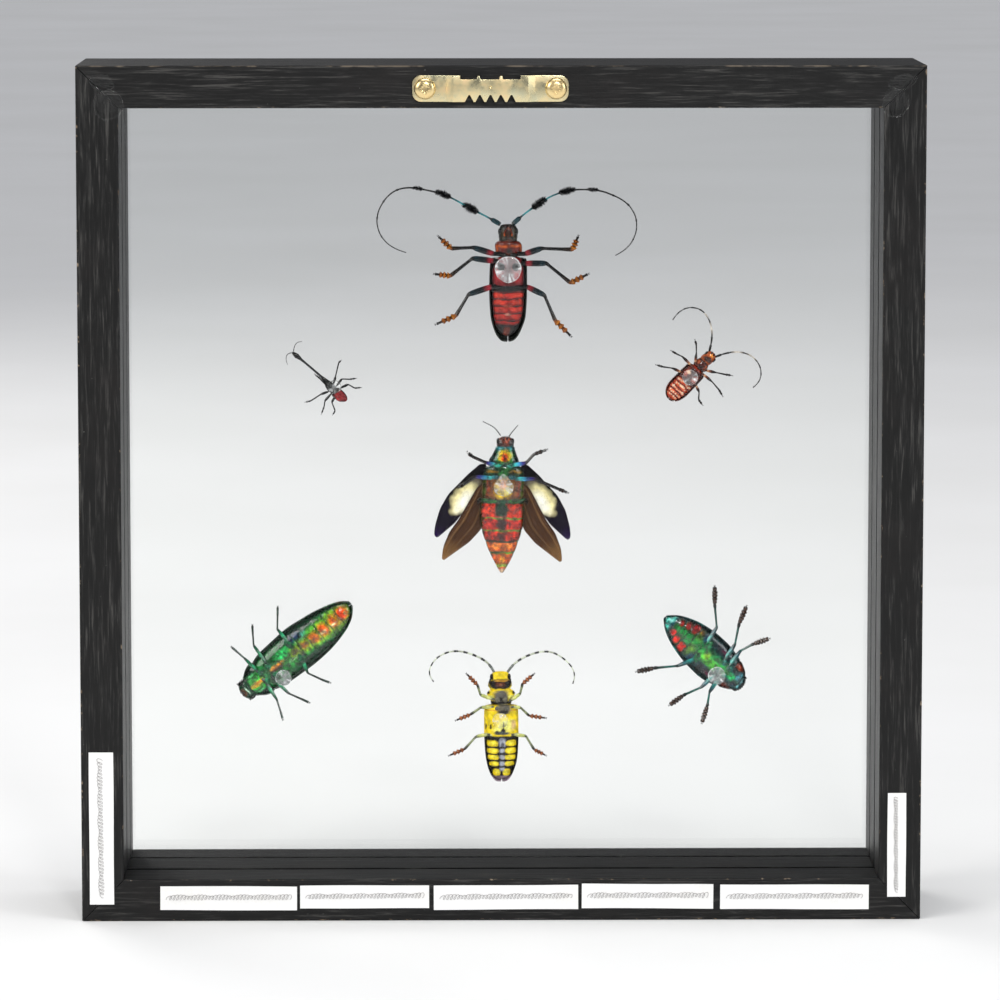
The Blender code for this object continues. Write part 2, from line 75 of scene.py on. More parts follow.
front_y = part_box("rail_top")[1].y
half_width, height = cad_high.x, cad_high.z
rail_width = half_width - abs(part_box("rail_top")[1].x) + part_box("rail_bottom")[1].z
print(
    "frame in mm:", [round(side / MM, 1) for side in cad_high - cad_low], "rail",
    round(rail_width / MM, 1),
)

# %% [markdown]
# ## Camera, floor and light
#
# The camera looks at the back of the frame from a little above, through a long lens, so the rails
# stay almost parallel. A small vertical shift frames it without tilting further. The floor is a
# large pale sheet. The light is plain: soft boxes above, at both sides and in front, so that both
# faces of the display are lit, and a sky that glossy shells see darker than the eye does, as in a
# black-lined studio.

# %% Camera
CAMERA_AT = (-0.024, rear_y - 1.864, 0.400)
CAMERA_DOWN, CAMERA_ASIDE = math.radians(5.97), math.radians(0.72)
LENS, SHIFT_UP = 187.5, -0.14

camera_data = bpy.data.cameras.new("camera")
camera_data.lens = LENS
camera_data.shift_y = SHIFT_UP
camera = bpy.data.objects.new("camera", camera_data)
camera.location = CAMERA_AT
camera.rotation_euler = (math.pi / 2 - CAMERA_DOWN, 0, -CAMERA_ASIDE)
bpy.context.scene.collection.objects.link(camera)
bpy.context.scene.camera = camera
print("camera at", [round(c, 3) for c in CAMERA_AT])


# %% Helpers for materials
def tone(red, green, blue):
    """A colour picked on a screen, 0 to 255, as the linear values that a shader wants."""
    return tuple((c / 255) ** 2.2 for c in (red, green, blue)) + (1.0,)


def add(tree, kind, inputs=(), **settings):
    """A new shader node, with its settings, and its inputs linked or set."""
    made = tree.nodes.new("ShaderNode" + kind)
    for key, value in settings.items():
        setattr(made, key, value)
    for key, value in dict(inputs).items():
        if isinstance(value, bpy.types.NodeSocket):
            tree.links.new(value, made.inputs[key])
        else:
            made.inputs[key].default_value = value
    return made


def maths(tree, operation, first, second=0.0):
    return add(tree, "Math", {0: first, 1: second}, operation=operation, use_clamp=False).outputs[0]


def times(tree, first, second):
    return maths(tree, "MULTIPLY", first, second)


def most(tree, first, second):
    return maths(tree, "MAXIMUM", first, second)


def ramp(tree, value, stops):
    """A colour ramp through (place, colour) stops."""
    made = add(tree, "ValToRGB", {"Fac": value})
    band = made.color_ramp
    while len(band.elements) < len(stops):
        band.elements.new(0.5)
    for element, (place, colour) in zip(band.elements, stops):
        element.position = place
        element.color = colour
    return made.outputs["Color"]


def span(tree, value, low, high, to_low=0.0, to_high=1.0):
    """The value's range low to high stretched to another range, and held at its ends."""
    made = add(tree, "MapRange", {0: value, 1: low, 2: high, 3: to_low, 4: to_high}, clamp=True)
    return made.outputs[0]


def mixed(tree, share, first, second, blend="MIX"):
    made = add(tree, "Mix", data_type="RGBA", blend_type=blend)
    for socket, value in (
        (made.inputs[0], share), (made.inputs[6], first), (made.inputs[7], second),
    ):
        if isinstance(value, bpy.types.NodeSocket):
            tree.links.new(value, socket)
        else:
            socket.default_value = value
    return made.outputs[2]


def new_material(name, **settings):
    """A material with its shader, and the settings that are the same all over it."""
    material = bpy.data.materials.new(name)
    material.use_nodes = True
    tree = material.node_tree
    shader = tree.nodes["Principled BSDF"]
    for key, value in settings.items():
        shader.inputs[key.replace("_", " ")].default_value = value
    return material, tree, shader


def object_place(tree, scale=(1, 1, 1), location=(0, 0, 0)):
    """Object coordinates, stretched and shifted."""
    place = add(tree, "TexCoord").outputs["Object"]
    return add(tree, "Mapping", {"Vector": place, "Scale": scale, "Location": location}).outputs[0]


def grainy(tree, place, scale, detail=4.0, roughness=0.55, distortion=0.0):
    made = add(
        tree, "TexNoise",
        {
            "Vector": place, "Scale": scale, "Detail": detail, "Roughness": roughness,
            "Distortion": distortion,
        },
    )
    return made.outputs["Fac"]


def coloured(tree, shader, colour, roughness):
    tree.links.new(colour, shader.inputs["Base Color"])
    tree.links.new(roughness, shader.inputs["Roughness"])


def bumped(tree, shader, heights, strength, distance):
    made = add(tree, "Bump", {"Height": heights, "Strength": strength, "Distance": distance})
    tree.links.new(made.outputs[0], shader.inputs["Normal"])


# %% Floor, sky and soft boxes
FLOOR_SIZE = 60
SKY_FOR_SHADE, SKY_SEEN, SKY_IN_GLOSS = 0.72, 0.56, 0.16  # how bright the sky is in each role

bpy.ops.object.select_all(action="DESELECT")
bpy.ops.mesh.primitive_plane_add(size=FLOOR_SIZE, location=(0, 0, cad_low.z))
floor = bpy.context.object
floor.name = "floor"
floor_paint, tree, shader = new_material("floor_paint", Roughness=0.75)
mottle = grainy(tree, object_place(tree), 3.0)
floor_colour = ramp(tree, mottle, [(0.3, (0.72, 0.715, 0.70, 1)), (0.7, (0.76, 0.755, 0.745, 1))])
tree.links.new(floor_colour, shader.inputs["Base Color"])
floor.data.materials.append(floor_paint)
floor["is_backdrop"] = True

sky = bpy.data.worlds.new("studio")
sky.use_nodes = True
bpy.context.scene.world = sky
tree = sky.node_tree
path = add(tree, "LightPath")
by_mirror = maths(
    tree, "SUBTRACT", path.outputs["Is Glossy Ray"], path.outputs["Is Transmission Ray"],
)
by_mirror = most(tree, by_mirror, 0.0)
sky_light = tree.nodes["Background"]
sky_light.inputs["Color"].default_value = (0.93, 0.95, 1.0, 1)
seen = most(tree, path.outputs["Is Camera Ray"], path.outputs["Is Transmission Ray"])
dimmed = times(tree, by_mirror, SKY_FOR_SHADE - SKY_IN_GLOSS)
strength = maths(tree, "SUBTRACT", SKY_FOR_SHADE, dimmed)
dimmed = times(tree, seen, SKY_FOR_SHADE - SKY_SEEN)
strength = maths(tree, "SUBTRACT", strength, dimmed)
tree.links.new(strength, sky_light.inputs["Strength"])

AIM = Vector((0, 0, height / 2))
SOFT_BOXES = {
    # name: place, width, height, watts, colour
    "box_left": ((-1.35, -1.15, 1.05), 0.9, 0.9, 13, (1.0, 0.98, 0.95)),
    "box_right": ((1.45, -1.0, 0.75), 0.6, 0.9, 7, (0.95, 0.98, 1.0)),
    "box_above": ((0.1, -0.25, 1.75), 1.3, 0.8, 12, (1.0, 1.0, 1.0)),
    "box_front": ((-0.9, 1.5, 1.2), 0.9, 0.9, 11, (1.0, 0.99, 0.97)),
    "flash": ((0.2, -1.55, 1.0), 0.22, 0.22, 6, (1.0, 1.0, 1.0)),
}
for name, (place, width, tall, watts, colour) in SOFT_BOXES.items():
    lamp = bpy.data.lights.new(name, "AREA")
    lamp.shape = "RECTANGLE"
    lamp.size, lamp.size_y = width, tall
    lamp.energy = watts
    lamp.color = colour
    hung = bpy.data.objects.new(name, lamp)
    hung.location = place
    hung.rotation_euler = (AIM - Vector(place)).to_track_quat("-Z", "Y").to_euler()
    bpy.context.scene.collection.objects.link(hung)
bpy.context.scene.view_settings.view_transform = "Standard"
print("lights:", ", ".join(SOFT_BOXES))

# %% [markdown]
# ## The wooden rails
#
# The rails are open-grained wood, stained black. The stain sinks into the pores and leaves the
# harder lines between them greyer, handling has rubbed the arrises down to bare wood, and the sawn
# corners are chipped. The solids have the right shape, so they stay. All of this goes into one
# procedural material for each direction of the grain: noise stretched along the rail for the
# lines, and masks that measure how near a point lies to an outer face, because two faces near at
# once make an arris.


# %% Stained wood
GRAIN_ACROSS, GRAIN_ALONG = 900, 46  # how many waves of the noise in a metre
FINER = 2.6  # how much finer the second grain is
ARRIS = 0.9 * MM  # how far from its edge an arris is rubbed
GRAIN_DEEP = 0.35 * MM


def near(tree, value, place):
    """1 where the value is at the place, falling to 0 where an arris ends."""
    away = maths(tree, "ABSOLUTE", maths(tree, "SUBTRACT", value, place))
    return span(tree, away, 0.0, ARRIS, 1.0, 0.0)


def stained_wood(name, along, seed):
    """Black stained wood with its grain along X or Z."""
    material, tree, shader = new_material(
        name, Coat_Weight=0.05, Coat_Roughness=0.35, Specular_IOR_Level=0.3,
    )
    stretch = [GRAIN_ACROSS] * 3
    stretch["XYZ".index(along)] = GRAIN_ALONG
    grain_place = object_place(tree, stretch, (seed, seed / 3, 0))
    lines = grainy(tree, grain_place, 1.0, 5.0, 0.62, 0.6)
    fine = grainy(
        tree, object_place(tree, [FINER * s for s in stretch], (0, seed, 0)), 1.0, 3.0, 0.7,
    )
    pores = maths(tree, "ADD", times(tree, lines, 0.7), times(tree, fine, 0.3))
    stain = ramp(tree, pores, [
        (0.42, (0.0008, 0.0008, 0.0008, 1)), (0.50, (0.002, 0.0019, 0.0018, 1)),
        (0.55, (0.009, 0.0088, 0.0085, 1)), (0.63, (0.042, 0.040, 0.037, 1)),
    ])
    patches = grainy(tree, object_place(tree), 38.0, 3.0)
    stain = mixed(tree, span(tree, patches, 0.52, 0.72, 0, 0.5), stain, (0.008, 0.006, 0.0055, 1))
    spot = add(tree, "SeparateXYZ", {0: add(tree, "TexCoord").outputs["Object"]})
    x, y, z = spot.outputs
    across = maths(tree, "ABSOLUTE", x)
    by_side, by_top = near(tree, across, half_width), near(tree, z, height)
    by_foot = near(tree, z, 0.0)
    by_face = most(tree, near(tree, y, rear_y), near(tree, y, front_y))
    if along == "X":
        by_inside = most(tree, near(tree, z, height - rail_width), near(tree, z, rail_width))
        by_inside = times(
            tree, by_inside, maths(tree, "LESS_THAN", across, half_width - rail_width),
        )
    else:
        up = maths(tree, "ABSOLUTE", maths(tree, "SUBTRACT", z, height / 2))
        by_inside = near(tree, across, half_width - rail_width)
        by_inside = times(tree, by_inside, maths(tree, "LESS_THAN", up, height / 2 - rail_width))
    rubbed = grainy(tree, object_place(tree, location=(0, 0, seed)), 130.0, 5.0, 0.6)
    chips = grainy(tree, object_place(tree, location=(seed, 0, 0)), 420.0, 3.0, 0.7)
    top_arris = times(tree, by_top, by_face)
    other_arris = times(tree, most(tree, by_side, by_foot), by_face)
    inner_arris = times(tree, by_inside, by_face)
    worn = times(tree, top_arris, span(tree, rubbed, 0.40, 0.60, 0, 0.42))
    worn = most(tree, worn, times(tree, other_arris, span(tree, chips, 0.57, 0.66)))
    worn = most(tree, worn, times(tree, inner_arris, span(tree, chips, 0.60, 0.68)))
    worn = span(tree, worn, 0.12, 0.5)
    bare = ramp(tree, rubbed, [(0.35, (0.12, 0.08, 0.048, 1)), (0.65, (0.27, 0.21, 0.145, 1))])
    specks = span(
        tree, grainy(tree, object_place(tree, location=(0, seed, seed)), 900.0, 2.0), 0.76, 0.80, 0,
        0.7,
    )
    stain = mixed(tree, specks, stain, (0.35, 0.34, 0.32, 1))
    coloured(tree, shader, mixed(tree, worn, stain, bare), span(tree, pores, 0.4, 0.7, 0.38, 0.62))
    bumped(tree, shader, maths(tree, "SUBTRACT", pores, times(tree, worn, 0.25)), 0.55, GRAIN_DEEP)
    return material


for rail, along, seed in (
    ("rail_top", "X", 3.1), ("rail_bottom", "X", 17.7), ("rail_left", "Z", 5.3),
    ("rail_right", "Z", 29.0),
):
    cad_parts[rail].data.materials[0] = stained_wood("black_" + rail, along, seed)
    print(rail, "stained")

# %% [markdown]
# ## The glass
#
# Each pane is clean float glass. It bends light hardly at all, so for the light that reaches the
# beetles it may as well not be there: letting shadow, diffuse and mirrored rays pass straight
# through keeps the beetles bright and the picture free of noise. Rays that do enter the glass bend
# and leave it properly, and a faint ripple keeps it from looking like nothing at all.


# %% Pane glass
def clear_glass(name, straight, tint, ripple, index, whitened=False):
    """Glass that lets most light straight through, and the share straight of the eye's rays.

    It can be turned white where the paint on its points is bright: on the glue this is clouding,
    and at the edge of each drop a painted reflection.
    """
    material, tree, shader = new_material(name, Transmission_Weight=1.0, Roughness=0.0, IOR=index)
    path = add(tree, "LightPath").outputs
    bounced = maths(tree, "SUBTRACT", path["Is Glossy Ray"], path["Is Transmission Ray"])
    passed = most(tree, path["Is Shadow Ray"], path["Is Diffuse Ray"])
    passed = most(tree, passed, bounced)
    passed = most(tree, passed, times(tree, path["Is Camera Ray"], straight))
    wavy = grainy(tree, object_place(tree), 60.0, 2.0)
    bumped(tree, shader, wavy, ripple, 0.2 * MM)
    tinted = mixed(tree, span(tree, wavy, 0.3, 0.7), tint, (1, 1, 1, 1))
    tree.links.new(tinted, shader.inputs["Base Color"])
    through = add(tree, "BsdfTransparent", {"Color": (0.995, 0.998, 0.995, 1)})
    both = add(tree, "MixShader", {0: passed, 1: shader.outputs[0], 2: through.outputs[0]})
    # White where the paint is bright: clouding of the glue, and a painted reflection at its edge.
    if whitened:
        cloud = add(tree, "Attribute", attribute_name="Tint").outputs["Fac"]
        streaky = grainy(tree, object_place(tree), 900.0, 3.0, 0.7)
        cloud = times(tree, cloud, span(tree, streaky, 0.35, 0.65, 0.55, 1.0))
        white = add(
            tree, "BsdfPrincipled", {"Base Color": (0.88, 0.89, 0.90, 1), "Roughness": 0.25},
        )
        both = add(tree, "MixShader", {0: cloud, 1: both.outputs[0], 2: white.outputs[0]})
    tree.links.new(both.outputs[0], tree.nodes["Material Output"].inputs["Surface"])
    return material


pane_glass = clear_glass("pane_glass", 0.93, (0.985, 0.995, 0.99, 1), 0.01, 1.5)
for pane in ("rear_pane", "front_pane"):
    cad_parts[pane].data.materials[0] = pane_glass


# %% [markdown]
# ## Modelling by hand, in code
#
# Every small piece starts as a primitive of a few points and is drawn out in edit mode, as you
# would with the E and S keys. Two habits carry the whole lesson. A *turned* shape is a circle
# extruded from section to section and resized at each stop: heads, bellies, screws and glue are
# made so. A *drawn* shape is one point extruded along a path: it becomes an outline to fill, or
# the core of a leg. Small pieces are drawn in millimetres near the origin and brought to their
# place at the end.


# %% Helpers for modelling
def deselect():
    if bpy.context.mode != "OBJECT":
        bpy.ops.object.mode_set(mode="OBJECT")
    bpy.ops.object.select_all(action="DESELECT")


def take(piece):
    """Makes the piece the only one selected."""
    deselect()
    piece.select_set(True)
    bpy.context.view_layer.objects.active = piece


def edit(piece, select="SELECT"):
    take(piece)
    bpy.ops.object.mode_set(mode="EDIT")
    bpy.ops.mesh.select_all(action=select)


def face_out(piece):
    """Merges doubles and turns all faces outwards."""
    edit(piece)
    bpy.ops.mesh.remove_doubles(threshold=0.001)
    bpy.ops.mesh.normals_make_consistent(inside=False)
    bpy.ops.object.mode_set(mode="OBJECT")


def turned(name, sections, sides=32):
    """A circle drawn out through sections of (Z, half width, half depth, middle X, middle Y)."""
    deselect()
    z, wide, deep, x, y = sections[0]
    bpy.ops.mesh.primitive_circle_add(
        vertices=sides, radius=1, fill_type="NGON", location=(x, y, z),
    )
    piece = bpy.context.object
    piece.name = name
    edit(piece)
    bpy.ops.transform.resize(value=(wide, deep, 1), center_override=(x, y, z))
    for (z, wide, deep, x, y), (to_z, to_wide, to_deep, to_x, to_y) in zip(sections, sections[1:]):
        bpy.ops.mesh.extrude_region_move(
            TRANSFORM_OT_translate={"value": (to_x - x, to_y - y, to_z - z)}
        )
        bpy.ops.transform.resize(
            value=(to_wide / wide, to_deep / deep, 1), center_override=(to_x, to_y, to_z),
        )
    bpy.ops.mesh.select_all(action="SELECT")
    bpy.ops.mesh.normals_make_consistent(inside=False)
    bpy.ops.object.mode_set(mode="OBJECT")
    return piece


def drawn(name, points):
    """One point drawn out along a path."""
    deselect()
    bpy.ops.mesh.primitive_plane_add(size=1, location=points[0])
    piece = bpy.context.object
    piece.name = name
    edit(piece)
    bpy.ops.mesh.merge(type="CENTER")
    for start, end in zip(points, points[1:]):
        bpy.ops.mesh.extrude_region_move(
            TRANSFORM_OT_translate={"value": tuple(Vector(end) - Vector(start))}
        )
    bpy.ops.object.mode_set(mode="OBJECT")
    return piece


def apply_modifier(piece, kind, **settings):
    take(piece)
    made = piece.modifiers.new(kind.lower(), kind)
    for key, value in settings.items():
        setattr(made, key, value)
    bpy.ops.object.modifier_apply(modifier=made.name)


def smoothed(piece, levels=1):
    apply_modifier(piece, "SUBSURF", levels=levels, render_levels=levels)


def joined(name, pieces):
    deselect()
    for piece in pieces:
        piece.select_set(True)
    bpy.context.view_layer.objects.active = pieces[0]
    if len(pieces) > 1:
        bpy.ops.object.join()
    pieces[0].name = name
    return pieces[0]


def placed(piece, place, turn=Euler((0, 0, 0)), scale=MM):
    """Brings a piece drawn in millimetres to its place, and bakes the move into its mesh."""
    take(piece)
    bpy.context.view_layer.update()
    move = Matrix.LocRotScale(Vector(place), turn, Vector((scale, scale, scale)))
    piece.matrix_world = move @ piece.matrix_world
    bpy.ops.object.transform_apply(location=True, rotation=True, scale=True)
    return piece


def shaded(piece, angle=40):
    take(piece)
    bpy.ops.object.shade_smooth_by_angle(angle=math.radians(angle))


def settle(piece, material, slot, *nodes):
    """Gives the piece its finish, fixes it to the frame and lets it stand for its plain solids."""
    piece.data.materials.clear()
    piece.data.materials.append(material)
    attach(piece, "root")
    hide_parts(*nodes)
    print(piece.name, len(piece.data.polygons), "faces")


FACING_BACK = Euler((math.pi / 2, 0, 0))  # stands a turned shape's top towards the back

# %% [markdown]
# ## The hanger and its screws
#
# The hanger is a pressed steel strip with a zinc finish that has gone straw yellow. Its middle is
# raised so that the hook can slip behind it, and its teeth let you shift the frame sideways until
# it hangs level. It is drawn as an outline, filled and given its thickness, then cut across where
# it bends so that the middle can be lifted. A small bevel on the sharp edges catches the light, as
# the rounded edges of a pressing do.

# %% The outline of the strip
STRIP_HALF, STRIP_TALL, STRIP_THICK = 28.0, 9.5, 0.9
BEND_FROM, BEND_TO, LIFT = 13.5, 16.0, 1.6
TEETH_AT = (-7.6, -3.8, 0.0, 3.7, 7.5)
TOOTH_HALF, TOOTH_DEEP = 1.55, 2.5
NOTCH_HALF, NOTCH_DEEP = 10.8, 1.45
PEGS_AT, PEG_HALF = (-4.2, 3.8), 0.75

half_tall = STRIP_TALL / 2
corner = [math.radians(a) for a in range(0, 91, 15)]
round_end = [
    (STRIP_HALF - 3.2 + 3.2 * math.sin(a), half_tall - 3.2 + 3.2 * math.cos(a)) for a in corner
]
bottom_edge = [(STRIP_HALF - 3.2, -half_tall)]
for middle in reversed(TEETH_AT):
    bottom_edge += [(middle + TOOTH_HALF, -half_tall), (middle + 0.25, TOOTH_DEEP - half_tall),
                    (middle - 0.25, TOOTH_DEEP - half_tall), (middle - TOOTH_HALF, -half_tall)]
notch = half_tall - NOTCH_DEEP
top_edge = [(-NOTCH_HALF, half_tall), (-NOTCH_HALF, notch)]
for middle in PEGS_AT:
    top_edge += [(middle - PEG_HALF, notch), (middle - 0.5 * PEG_HALF, half_tall - 0.15),
                 (middle + 0.5 * PEG_HALF, half_tall - 0.15), (middle + PEG_HALF, notch)]
top_edge += [(NOTCH_HALF, notch), (NOTCH_HALF, half_tall)]
right_end = round_end + [(x, -z) for x, z in reversed(round_end)]
left_end = [(-x, -z) for x, z in right_end]
outline = top_edge + right_end + bottom_edge[1:] + left_end
strip = drawn("hanger_strip", [(x, 0, z) for x, z in outline + outline[:1]])
edit(strip)
bpy.ops.mesh.remove_doubles(threshold=0.01)
bpy.ops.mesh.edge_face_add()
bpy.ops.mesh.extrude_region_move(TRANSFORM_OT_translate={"value": (0, -STRIP_THICK, 0)})
for cut in (-BEND_TO, -BEND_FROM, BEND_FROM, BEND_TO):
    bpy.ops.mesh.select_all(action="SELECT")
    bpy.ops.mesh.bisect(plane_co=(cut, 0, 0), plane_no=(1, 0, 0))
bpy.ops.object.mode_set(mode="OBJECT")
print("outline of", len(outline), "points")


# %% Lift the middle, round the edges and set it on the rail
def select_points(piece, wanted):
    """Selects the points of the piece, in its own millimetres, that the test wants."""
    deselect()
    for point in piece.data.vertices:
        point.select = bool(wanted(piece.matrix_world @ point.co))
    for edge in piece.data.edges:
        edge.select = all(piece.data.vertices[i].select for i in edge.vertices)
    for face in piece.data.polygons:
        face.select = all(piece.data.vertices[i].select for i in face.vertices)
    take(piece)
    bpy.ops.object.mode_set(mode="EDIT")


select_points(strip, lambda at: abs(at.x) < BEND_FROM + 0.01)
bpy.ops.transform.translate(value=(0, -LIFT, 0))
bpy.ops.mesh.select_all(action="SELECT")
bpy.ops.mesh.normals_make_consistent(inside=False)
bpy.ops.object.mode_set(mode="OBJECT")
apply_modifier(
    strip, "BEVEL", width=0.16, segments=3, limit_method="ANGLE", angle_limit=math.radians(35),
)
bpy.ops.mesh.primitive_uv_sphere_add(
    radius=0.55, location=(0, -LIFT - STRIP_THICK - 0.15, 0.4), segments=16, ring_count=8,
)
punch = bpy.context.object
apply_modifier(strip, "BOOLEAN", operation="DIFFERENCE", object=punch)
bpy.data.objects.remove(punch)
plate_low, plate_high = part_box("hanger_plate")
plate_middle = (plate_low + plate_high) / 2
placed(strip, (plate_middle.x, plate_high.y, plate_middle.z))
shaded(strip, 30)


# %% Zinc gone straw yellow
def zinc(name, seed, warmth):
    """Zinc plate. warmth is how far the yellow has spread over it."""
    material, tree, shader = new_material(name, Metallic=1.0)
    clouds = grainy(tree, object_place(tree, location=(seed, 0, 0)), 190.0, 4.0, 0.6)
    straw = ramp(tree, clouds, [
        (0.30, (0.60, 0.60, 0.42, 1)), (0.46, (0.72, 0.66, 0.42, 1)),
        (0.58, (0.86, 0.72, 0.42, 1)), (0.72, (0.90, 0.68, 0.40, 1)),
    ])
    straw = mixed(tree, warmth, straw, (0.90, 0.62, 0.24, 1))
    rolled = grainy(tree, object_place(tree, (300, 900, 2600)), 1.0, 3.0)
    straw = mixed(tree, span(tree, rolled, 0.5, 0.7, 0, 0.06), straw, (0.42, 0.34, 0.2, 1))
    coloured(tree, shader, straw, span(tree, clouds, 0.35, 0.7, 0.22, 0.42))
    bumped(tree, shader, rolled, 0.12, 0.05 * MM)
    return material


settle(strip, zinc("zinc_strip", 0.0, 0.1), "plated_steel", "hanger_plate")

# %% [markdown]
# The screws are pan heads: low domes with a drive recess in the middle, where a cross widens into
# a small square. The head is turned through its sections, and the recess is sunk with three
# blocks.

# %% Pan-head screws
HEAD_SECTIONS = [
    # height over the strip, radius
    (-2.4, 1.3), (0.0, 1.4), (0.02, 3.7), (0.25, 3.9), (0.85, 3.85), (1.35, 3.55), (1.75, 2.95),
    (2.05, 2.1), (2.15, 1.2), (2.2, 0.4),
]
RECESS = [((3.5, 0.9, 1.5), 0), ((3.5, 0.9, 1.5), 90), ((2.1, 2.1, 1.4), 0)]


def pan_screw(name, node, lean):
    low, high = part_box(node)
    screw = turned(name, [(z, r, r, 0, 0) for z, r in HEAD_SECTIONS], 40)
    for size, turn in RECESS:
        bpy.ops.mesh.primitive_cube_add(
            size=1, scale=size, location=(0, 0, 2.2), rotation=(0, 0, math.radians(turn)),
        )
        block = bpy.context.object
        apply_modifier(screw, "BOOLEAN", operation="DIFFERENCE", object=block)
        bpy.data.objects.remove(block)
    apply_modifier(
        screw, "BEVEL", width=0.1, segments=2, limit_method="ANGLE", angle_limit=math.radians(40),
    )
    middle = (low + high) / 2
    seat = low.y + HEAD_SECTIONS[-1][0] * MM
    placed(screw, (0, 0, 0), Euler((0, 0, math.radians(lean))), 1.0)
    placed(screw, (middle.x, seat, middle.z), FACING_BACK)
    shaded(screw, 35)
    return screw


for name, node, lean, seed in (
    ("screw_head_left", "screw_left", 8, 3.0), ("screw_head_right", "screw_right", -6, 7.0),
):
    settle(pan_screw(name, node, lean), zinc("zinc_" + name, seed, 0.55), "plated_steel", node)

# %% [markdown]
# ## Filler in the upper corners
#
# Where the upper mitres were filled, clear filler ran out and dried in low glossy puddles. Their
# thin rims are what the light picks out. Each is a turned disc with a soft rim, pulled out of
# round.

# %% Corner puddles
PUDDLES = {
    # name: side, in from the side and down from the top, half width, half height, lean
    "filler_left_upper": (-1, 9.6, 6.2, 4.6, 3.0, -12),
    "filler_left_lower": (-1, 11.6, 14.2, 5.4, 5.6, 20),
    "filler_right_upper": (1, 9.0, 6.0, 5.2, 2.8, 14),
    "filler_right_lower": (1, 11.4, 13.4, 4.9, 5.4, -24),
}
PUDDLE_RIM = [
    (-0.10, 0.96), (0.0, 1.0), (0.10, 0.99), (0.17, 0.95), (0.16, 0.88), (0.10, 0.78), (0.07, 0.5),
    (0.06, 0.1),
]

filler = clear_glass("clear_filler", 0.45, (0.90, 0.90, 0.88, 1), 0.5, 1.45)
for name, (side, aside, down, wide, tall, lean) in PUDDLES.items():
    puddle = turned(name, [(z, r * wide, r * tall, 0, 0) for z, r in PUDDLE_RIM], 48)
    for point in puddle.data.vertices:
        drift = noise.noise(Vector((point.co.x * 0.3, point.co.y * 0.3, aside)))
        point.co.x *= 1 + 0.16 * drift
        point.co.y *= 1 - 0.16 * drift
    placed(puddle, (0, 0, 0), Euler((0, 0, math.radians(lean))), 1.0)
    placed(
        puddle, (side * (half_width - aside * MM), rear_y - 0.01 * MM, height - down * MM),
        FACING_BACK,
    )
    shaded(puddle, 60)
    puddle.data.materials.append(filler)
    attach(puddle, "root")
print(len(PUDDLES), "puddles of filler")

# %% [markdown]
# ## The paper strips
#
# Each beetle has its slip of white paper, glued behind the lower rails. Paper this small never
# lies quite flat, so each strip is a fine grid whose ends and edges are lifted a little, and it is
# given its thickness last. The pen line on it is only an ornament, a row of even loops that says
# nothing: a point drawn along the path of a rolling wheel, and given the width of a nib.


# %% Paper and pen line
def paper_strip(name, wide, tall, lift):
    deselect()
    bpy.ops.mesh.primitive_grid_add(
        x_subdivisions=max(int(wide), 4), y_subdivisions=max(int(tall), 4), size=1,
    )
    strip = bpy.context.object
    strip.name = name
    edit(strip)
    bpy.ops.transform.resize(value=(wide, tall, 1))
    bpy.ops.object.mode_set(mode="OBJECT")
    for point in strip.data.vertices:
        across, along = 2 * point.co.x / wide, 2 * point.co.y / tall
        ripple = noise.noise(Vector((point.co.x * 0.12, point.co.y * 0.2, lift * 7)))
        point.co.z = 0.10 * ripple + 0.12 * abs(across) ** 9 + 0.10 * abs(along) ** 7
        point.co.y *= 1 + 0.012 * math.sin(3.1 * across + lift * 9)
    apply_modifier(strip, "SOLIDIFY", thickness=0.14, offset=-1)
    return strip


def pen_loops(name, long, tall):
    """Even loops of a nib along a line, from left to right."""
    rounds = int(long / (0.42 * tall))
    steps = 9
    points = []
    for i in range(rounds * steps + 1):
        turn = i / steps * math.tau
        swell = 0.45 + 0.55 * abs(math.sin(turn * 0.083)) ** 0.7
        x = -long / 2 + long * i / (rounds * steps) - 0.20 * tall * math.sin(turn)
        y = 0.5 * tall * swell * (0.35 - math.cos(turn)) * 0.7 + 0.32 * x / long
        points.append((x + 0.45 * y, y, 0))
    line = drawn(name, points)
    take(line)
    bpy.ops.object.convert(target="CURVE")
    line = bpy.context.object
    line.data.bevel_depth = 0.055
    line.data.bevel_resolution = 1
    line.data.use_fill_caps = True
    bpy.ops.object.convert(target="MESH")
    line = bpy.context.object
    face_out(line)
    return line


def paper(name, seed):
    material, tree, shader = new_material(name, Sheen_Weight=0.1)
    fibres = grainy(tree, object_place(tree, location=(seed, 0, 0)), 1500.0, 4.0, 0.7, 0.5)
    aged = grainy(tree, object_place(tree, location=(0, 0, seed)), 45.0, 2.0)
    white = ramp(tree, fibres, [(0.35, (0.80, 0.795, 0.78, 1)), (0.65, (0.86, 0.855, 0.845, 1))])
    white = mixed(tree, span(tree, aged, 0.5, 0.75, 0, 0.2), white, (0.74, 0.70, 0.60, 1))
    coloured(tree, shader, white, span(tree, fibres, 0.3, 0.7, 0.72, 0.9))
    bumped(tree, shader, fibres, 0.12, 0.03 * MM)
    return material


pen_ink, tree, shader = new_material("pen_ink")
flow = grainy(tree, object_place(tree), 700.0, 2.0)
ink_colour = ramp(tree, flow, [(0.3, (0.05, 0.04, 0.038, 1)), (0.7, (0.20, 0.17, 0.16, 1))])
coloured(tree, shader, ink_colour, span(tree, flow, 0.3, 0.7, 0.35, 0.6))

